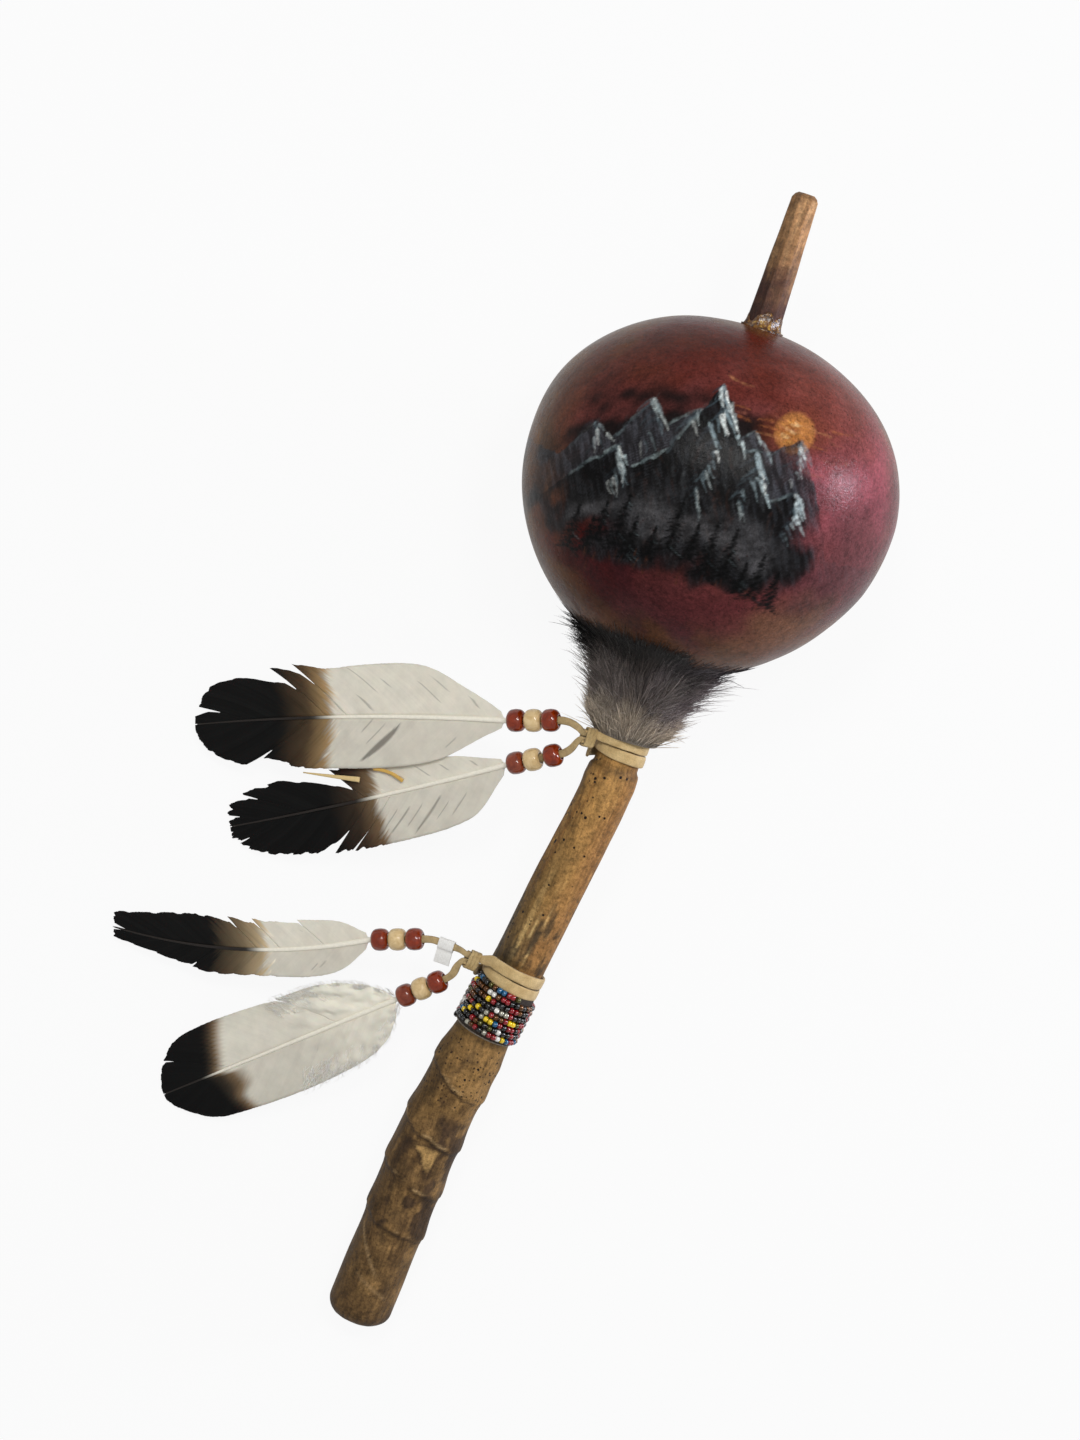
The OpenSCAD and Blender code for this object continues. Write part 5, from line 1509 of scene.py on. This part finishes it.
def vane(i):
    f = feathers[i]
    gen = np.random.default_rng(f["seed"])
    barbs = vanes["barbs"]
    m = 2 * vanes["rows"] + 2
    pointSets = []
    toneSets = []
    faceSets = []
    for side, edge in ((-1, f["down"]), (1, f["up"])):
        u0 = np.linspace(0.004, 0.993, barbs)
        # march each barb outwards in short strides, turning towards the tip, until it leaves the outline
        stride = vanes["stride"]
        march = np.arange(0, vanes["longest"], stride)
        steep = np.radians(
            vanes["flat"] + (vanes["steep"] - vanes["flat"]) * (1 - smoothStep(u0, 0.5, 1.02) ** 0.9)
        )
        steep = (
            steep + np.radians(22) * (1 - smoothStep(u0, 0, 0.1))
            + np.radians(0.5) * ripple(u0[:, None] * 40, 3.0, f["seed"] + side)
        )
        steep = steep * (1 - 0.75 * smoothStep(u0, 0.9, 0.985))
        bearing = np.maximum(steep[:, None] - np.radians(vanes["curl"]) * march, np.radians(3))
        px = u0[:, None] * f["long"] + np.cumsum(np.cos(bearing), 1) * stride
        py = np.cumsum(np.sin(bearing), 1) * stride
        inside = (py < vaneEdge(f, edge, px)) & (px < f["long"])
        reach = stride * np.argmin(np.concatenate([inside, np.zeros((barbs, 1), bool)], 1), 1).clip(5)
        # barbs fall short after a cut and fray a little, more in the dark part
        dark = smoothStep(u0, f["brown"] - 0.25, f["brown"] - 0.05)
        reach = reach * (1 - f["fray"] * (0.3 + dark) * gen.random(barbs))
        ragged = np.clip(ripple(u0[:, None] * f["long"], 9, f["seed"] + 11 + side, 2) + 0.1, 0, 1)
        reach = reach * (1 - f["rag"] * dark * ragged)
        mine = [cut for cut in f["cuts"] if cut[0] == side]
        for _, at, gap, deep, depth, run in mine:
            after = (u0 - at) / run
            reach = reach * (1 - depth * np.where(after >= 0, np.clip(1 - after, 0, 1), 0))
        v = np.linspace(0, 1, vanes["rows"] + 1)
        index = np.clip(reach[:, None] * v / stride, 0, len(march) - 1.001)
        low = index.astype(int)
        rest = index - low
        row = np.arange(barbs)[:, None]
        bx = px[row, low] * (1 - rest) + px[row, low + 1] * rest
        by = py[row, low] * (1 - rest) + py[row, low + 1] * rest
        rise = -vanes["camber"] * (by / 22) ** 2 + vanes["ridge"] * (row % 2 - 0.5)
        rise = rise + 0.4 * ripple(np.stack([bx / 30, by / 30], -1), 1.0, f["seed"] + 3, 2) * v
        # tufts of the soft root half
        if f["fluff"]:
            nearRoot = 1 - smoothStep(bx / f["long"], f["fluff"] - 0.25, f["fluff"])
            tufts = nearRoot * smoothStep(v, 0, 0.2)
            bunches = ripple(np.stack([bx, side * by], -1) * [0.5, 1], 6, f["seed"] + 13, 2)
            rise = rise + 1.15 * tufts * (0.6 + bunches)
        # at a cut the barbs part to both sides, wider towards the edge, and one side lies higher
        starts = [0]
        opened = []
        for _, at, gap, deep, depth, run in sorted(mine, key=lambda cut: cut[1]):
            away = (u0 - at) * f["long"]
            push = np.sign(away) * np.exp(-np.abs(away) / 6.5) * gap / 2
            shape = np.clip((v - 1 + deep) / deep, 0, 1) ** 1.3
            bx = bx + push[:, None] * shape
            by = by - push[:, None] * shape * 0.55
            lift = np.exp(-np.abs(away) / 5) * np.sign(away) * gen.uniform(-0.12, 0.12) * min(gap, 2)
            rise = rise + lift[:, None] * shape
            starts.append(int(np.searchsorted(u0, at)))
            parted = np.maximum(shape * min(gap, 1), (depth > 0.03) * (shape > 0))
            opened.append(np.where(shape > 0, parted, 0))
        bx = np.minimum(bx, f["long"])
        spine = np.stack([bx, side * (by + 0.15), rise], -1)
        # where a cut isn't open, its two sides still hang together
        for c, gone in zip(starts[1:], opened):
            hold = (1 - np.clip(gone, 0, 1))[:, None]
            middle = (spine[c - 1] + spine[c]) / 2
            spine[c - 1] += hold * (middle - spine[c - 1])
            spine[c] += hold * (middle - spine[c])
        thick = vanes["thick"] * (1 - 0.6 * v)[:, None] * np.array([0, 0, 1.0])
        ring = np.concatenate([spine + thick, (spine - thick)[:, ::-1]], 1)
        own = (
            0.5 * gen.normal(0, 1, barbs).clip(-2, 2)
            + 0.7 * ripple(u0[:, None] * 60, 5, f["seed"] + 7 + side)
        )
        out = np.concatenate([v, v[::-1]])
        tone = featherTone(f, ring[..., 0] / f["long"], out, own[:, None], side)
        # painted shade: each mark darkens the sheet in a thin line, as if a slit showed shadow
        for markSide, at, low, high, wide in f["marks"]:
            lens = np.sin(math.pi * np.clip((out - low) / (high - low), 0, 1)) ** 0.7
            far = np.abs((u0 - at) * f["long"])[:, None] / np.maximum(wide * lens, 0.01)
            line = 1 - smoothStep(far, 0.6, 1.3)
            tone = tone * (1 - (0.36 + 0.12 * wide) * line * (markSide == side))[..., None]
        toneSets.append(tone.reshape(-1, 3))
        # one closed sheet a lock: the grid around it, and the wall along its first and last barb
        r = np.arange(vanes["rows"])
        wall = np.stack([r, r + 1, m - 2 - r, m - 1 - r], -1)
        shift = sum(len(p) for p in pointSets)
        for a, b in zip(starts, starts[1:] + [barbs]):
            faces = np.concatenate([
                gridFaces(b - a, m, closeColumns=True), wall[:, ::-1], wall + (b - a - 1) * m,
            ])
            faceSets.append((faces if side < 0 else faces[:, ::-1]) + a * m + shift)
        pointSets.append(ring.reshape(-1, 3))
    piece = addPiece(f"vane{i + 1}", onFeather(i, np.concatenate(pointSets)), [np.concatenate(faceSets)])
    paintPoints(piece, "vaneTone", np.concatenate(toneSets))
    return dress(piece, vaneFinish, f"pendant_{i + 1}", "feather", f"feather_{i + 1}")


def shaft(i):
    # oval section, thick in the bead and fine at the tip, just proud of the vane
    f = feathers[i]
    x = np.concatenate([np.linspace(-4.1, -0.5, 6), np.linspace(0, 0.992 * f["long"], 70)])
    u = np.clip(x / f["long"], 0, 1)
    wide = np.where(x < 0, 1.25, 1.12 * (1 - 0.8 * u) + 0.1)
    tall = np.where(x < 0, 1.25, 0.95 * (1 - 0.78 * u) + 0.1)
    path = np.stack([x, 0 * x, 0.25 * (1 - u)], -1)
    section = rounded(12, 1.0)[None] * np.stack([wide, tall], -1)[:, None]
    rings = sweep(path, np.broadcast_to([0.0, 0, 1], path.shape), section)
    piece = addTube(f"shaft{i + 1}", onFeather(i, rings))
    dark = smoothStep(u, f["shaftDark"] - 0.04, f["shaftDark"] + 0.05)[:, None]
    tone = srgb(246, 240, 224) * (1 - dark) + srgb(34, 27, 22) * dark
    tone = np.repeat(tone, 12, 0)
    paintPoints(piece, "shaftTone", np.concatenate([tone, tone[[0, -1]]]))
    return dress(piece, shaftFinish, f"pendant_{i + 1}", "feather")


def down(i, count, long, fromU, toU):
    # soft fluff at the root: fine strands that curl out from under the vane's edge
    f = feathers[i]
    gen = np.random.default_rng(f["seed"] + 50)
    root = gen.uniform(fromU, toU, count) * f["long"]
    side = gen.choice([-1.0, 1.0], count)
    edge = np.where(side > 0, vaneEdge(f, f["up"], root), vaneEdge(f, f["down"], root))
    inset = gen.uniform(0.55, 0.92, count) * edge
    heading = np.radians(gen.normal(52, 16, count))
    curl = gen.normal(0, 0.09, count)
    size = long * gen.uniform(0.5, 1.1, count)
    v = np.linspace(0, 1, 7)
    bearing = heading[:, None] + curl[:, None] * size[:, None] * v
    hop = size[:, None] / 6
    start = np.zeros((count, 1))
    x = root[:, None] + np.concatenate([start, np.cumsum(np.cos(bearing) * hop, 1)[:, :-1]], 1)
    y = inset[:, None] + np.concatenate([start, np.cumsum(np.sin(bearing) * hop, 1)[:, :-1]], 1)
    y = side[:, None] * y
    limit = 1.8 + np.where(side[:, None] > 0, vaneEdge(f, f["up"], x), vaneEdge(f, f["down"], x))
    y = np.clip(y, -limit, limit)
    z = -0.2 + gen.uniform(-0.4, 0.4, count)[:, None] + 0.5 * np.sin(math.pi * 0.8 * v)
    spine = np.stack([x, y, z], -1)
    thick = gen.uniform(0.07, 0.14, count)[:, None] * (1 - 0.5 * v)
    points = strandPoints(spine, np.array([0.0, 0, 1]), thick, 0.0)
    piece = addPiece(f"down{i + 1}", onFeather(i, points), strandFaces(6, count))
    own = gen.normal(0, 0.05, count)
    tone = np.repeat(srgb(252, 249, 243)[None] * (1 + 0.4 * own)[:, None], points.shape[1], 0)
    paintPoints(piece, "vaneTone", tone)
    return dress(piece, vaneFinish, f"pendant_{i + 1}", "feather")


for i in range(4):
    vane(i)
    shaft(i)
down(3, 700, 8, 0.0, 0.45)
# two split slivers of quill caught in the second feather
slivers = [
    {
        "line": [(68, 8.8, 1.9), (76, 11.4, 2.2), (86, 14.6, 2.2), (94, 17.1, 1.9)], "half": (1.25, 0.25),
        "tone": (226, 198, 140),
    },
    {
        "line": [(48, 4.0, 1.8), (52, 8.0, 2.1), (56, 10.4, 2.2), (60.5, 12.0, 1.9)], "half": (0.85, 0.7),
        "tone": (214, 172, 88),
    },
]
for k, sliver in enumerate(slivers):
    path = curveThrough(sliver["line"], 24)
    half = np.linspace(*sliver["half"], 24)
    section = rounded(8, 0.7)[None] * np.stack([half, 0.3 + 0 * half], -1)[:, None]
    strip = sweep(path, np.broadcast_to([0.0, 0, 1], path.shape), section)
    piece = addTube(f"sliver{k + 1}", onFeather(1, strip))
    paintPoints(piece, "shaftTone", np.repeat(srgb(*sliver["tone"])[None], len(piece.data.vertices), 0))
    dress(piece, shaftFinish, "pendant_2", "feather")
print("feathers done")

# paper tag: a blank strip folded around the third lace, both ends laid together as a flag
tag = {"at": (8.5, 4.15), "turn": math.atan2(2.7, 7.5), "long": 7.0, "thick": 0.26}
fold = np.array([
    (-8.7, 0.3), (-6.5, 0.32), (-4.2, 0.28), (-2.7, 0.42), (-2.0, 1.0), (-1.1, 1.22), (0, 1.28),
    (1.1, 1.22), (1.95, 0.86), (2.2, 0.0), (1.95, -0.86), (1.1, -1.22), (0, -1.28), (-1.1, -1.22),
    (-2.0, -1.0), (-2.7, -0.42), (-4.2, -0.22), (-6.5, -0.2), (-8.7, -0.24),
])
path = curveThrough(np.stack([0 * fold[:, 0], fold[:, 0], fold[:, 1]], -1), 110)
path[:, 2] -= 0.018 * np.clip(-path[:, 1] - 2.5, 0, None) ** 2
across = rounded(16, 0.16) * np.array([tag["long"] / 2, tag["thick"] / 2])
way = unit(np.gradient(path, axis=0))
local = sweep(path, np.cross(way, np.array([1.0, 0, 0])), across)
c = math.cos(tag["turn"])
s = math.sin(tag["turn"])
local = np.stack([
    tag["at"][0] + local[..., 0] * c - local[..., 1] * s,
    tag["at"][1] + local[..., 0] * s + local[..., 1] * c, local[..., 2],
], -1)
label = addTube("blankTag", onPendant(2, local))
paper, tree, shader = newFinish("blankPaper", {"Roughness": 0.62, "Specular IOR Level": 0.35})
fibre = noiseOf(tree, objectPlace(tree), 1.6, 4, 0.7)
tree.links.new(
    rampOf(tree, fibre, (0.25, rgba(222, 220, 214)), (0.7, rgba(246, 245, 242))),
    shader.inputs["Base Color"],
)
tree.links.new(bumpOf(tree, fibre, 0.25, 0.0003), shader.inputs["Normal"])
dress(label, paper, "pendant_3", "paper", "paper_tag")

# pieces that stay as they are in the frame: the fillet under the fur and the loose pebbles
stone, tree, shader = newFinish("pebbleStone", {"Roughness": 0.75})
place = objectPlace(tree)
tree.links.new(
    rampOf(tree, noiseOf(tree, place, 0.35, 5, 0.7), (0.3, rgba(92, 84, 74)), (0.7, rgba(166, 156, 140))),
    shader.inputs["Base Color"],
)
tree.links.new(bumpOf(tree, noiseOf(tree, place, 1.1, 4), 0.4, 0.0004), shader.inputs["Normal"])
keptFinishes = {"neck_glue": amber, "pebbles_low": stone, "pebbles_mid": stone, "pebbles_high": stone}
for name, finish in keptFinishes.items():
    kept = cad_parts[name]
    kept.data.materials.clear()
    kept.data.materials.append(finish)
print("tag, pebbles and fillet done")

# floor: pale and plain, white to the camera, with the rattle's soft shadow
floor = {"half": 3.0, "white": 0.92}
across = np.linspace(-1, 1, 2) * floor["half"] * 1000
fx, fy = np.meshgrid(across, across, indexing="ij")
top = np.stack([fx, fy, 0 * fx - 0.05], -1).reshape(-1, 3)
faces = np.array([[0, 2, 3, 1], [4, 5, 7, 6], [0, 1, 5, 4], [2, 6, 7, 3], [0, 4, 6, 2], [1, 3, 7, 5]])
ground = addPiece("paleFloor", np.concatenate([top, top - [0, 0, 20]]), [faces], smooth=False)
floorFinish = bpy.data.materials.new("paleFloor")
floorFinish.use_nodes = True
tree = floorFinish.node_tree
tree.nodes.clear()
plain = node(tree, "ShaderNodeBsdfDiffuse", {"Color": (0.6, 0.6, 0.6, 1)})
glow = node(tree, "ShaderNodeEmission", {"Color": (1, 1, 1, 1), "Strength": 1.0})
rays = tree.nodes.new("ShaderNodeLightPath")
mirrored = sumOf(tree, "MULTIPLY", rays.outputs["Is Glossy Ray"], 0.4)
reflected = sumOf(tree, "MAXIMUM", mirrored, rays.outputs["Is Transmission Ray"])
seen = sumOf(tree, "MAXIMUM", rays.outputs["Is Camera Ray"], reflected)
blendShader = node(
    tree, "ShaderNodeMixShader",
    {0: sumOf(tree, "MULTIPLY", seen, floor["white"]), 1: plain.outputs[0], 2: glow.outputs[0]},
)
surface = tree.nodes.new("ShaderNodeOutputMaterial")
tree.links.new(blendShader.outputs[0], surface.inputs["Surface"])
ground.data.materials.append(floorFinish)

# light: a broad soft lamp above, two small soft boxes, a window on the right and an even pale surround
lamps = [
    {
        "name": "above", "place": (0.1, 0.15, 2.2), "aim": (-0.02, -0.1, 0.0), "size": (2.4, 2.4),
        "power": 5.0, "tone": (1, 0.985, 0.96),
    },
    {
        "name": "window", "place": (1.14, 0.38, 0.27), "aim": (0.0, 0.0, 0.08), "size": (0.25, 0.36),
        "power": 11.0, "tone": (0.84, 0.87, 1),
    },
    {
        "name": "boxLeft", "place": (-0.26, 0.34, 1.4), "aim": (-0.05, -0.1, 0.0), "size": (0.26, 0.26),
        "power": 5.3, "tone": (1, 0.99, 0.97),
    },
    {
        "name": "boxRight", "place": (0.24, 0.28, 1.4), "aim": (-0.05, -0.1, 0.0), "size": (0.26, 0.26),
        "power": 5.3, "tone": (1, 0.99, 0.97),
    },
]
for lamp in lamps:
    data = bpy.data.lights.new(lamp["name"], "AREA")
    data.shape = "RECTANGLE"
    data.size, data.size_y = lamp["size"]
    data.energy = lamp["power"]
    data.color = lamp["tone"]
    light = bpy.data.objects.new(lamp["name"], data)
    light.visible_camera = False
    where = np.array(lamp["place"])
    back = unit(where - np.array(lamp["aim"]))
    right = unit(np.cross(np.array([0.0, 0.0001, 1.0]), back))
    turnMatrix = np.eye(4)
    turnMatrix[:3, :3] = np.stack([right, np.cross(back, right), back], -1)
    turnMatrix[:3, 3] = where
    light.matrix_world = Matrix(turnMatrix.tolist())
    scene.collection.objects.link(light)
surround = bpy.data.worlds.new("paleSurround")
surround.use_nodes = True
surround.node_tree.nodes["Background"].inputs["Color"].default_value = (0.95, 0.97, 1, 1)
tree = surround.node_tree
rays = tree.nodes.new("ShaderNodeLightPath")
pale = sumOf(tree, "MAXIMUM", sumOf(tree, "MULTIPLY", rays.outputs["Is Camera Ray"], 0.97), 0.4)
tree.links.new(pale, tree.nodes["Background"].inputs["Strength"])
scene.world = surround
print("stage and light done")
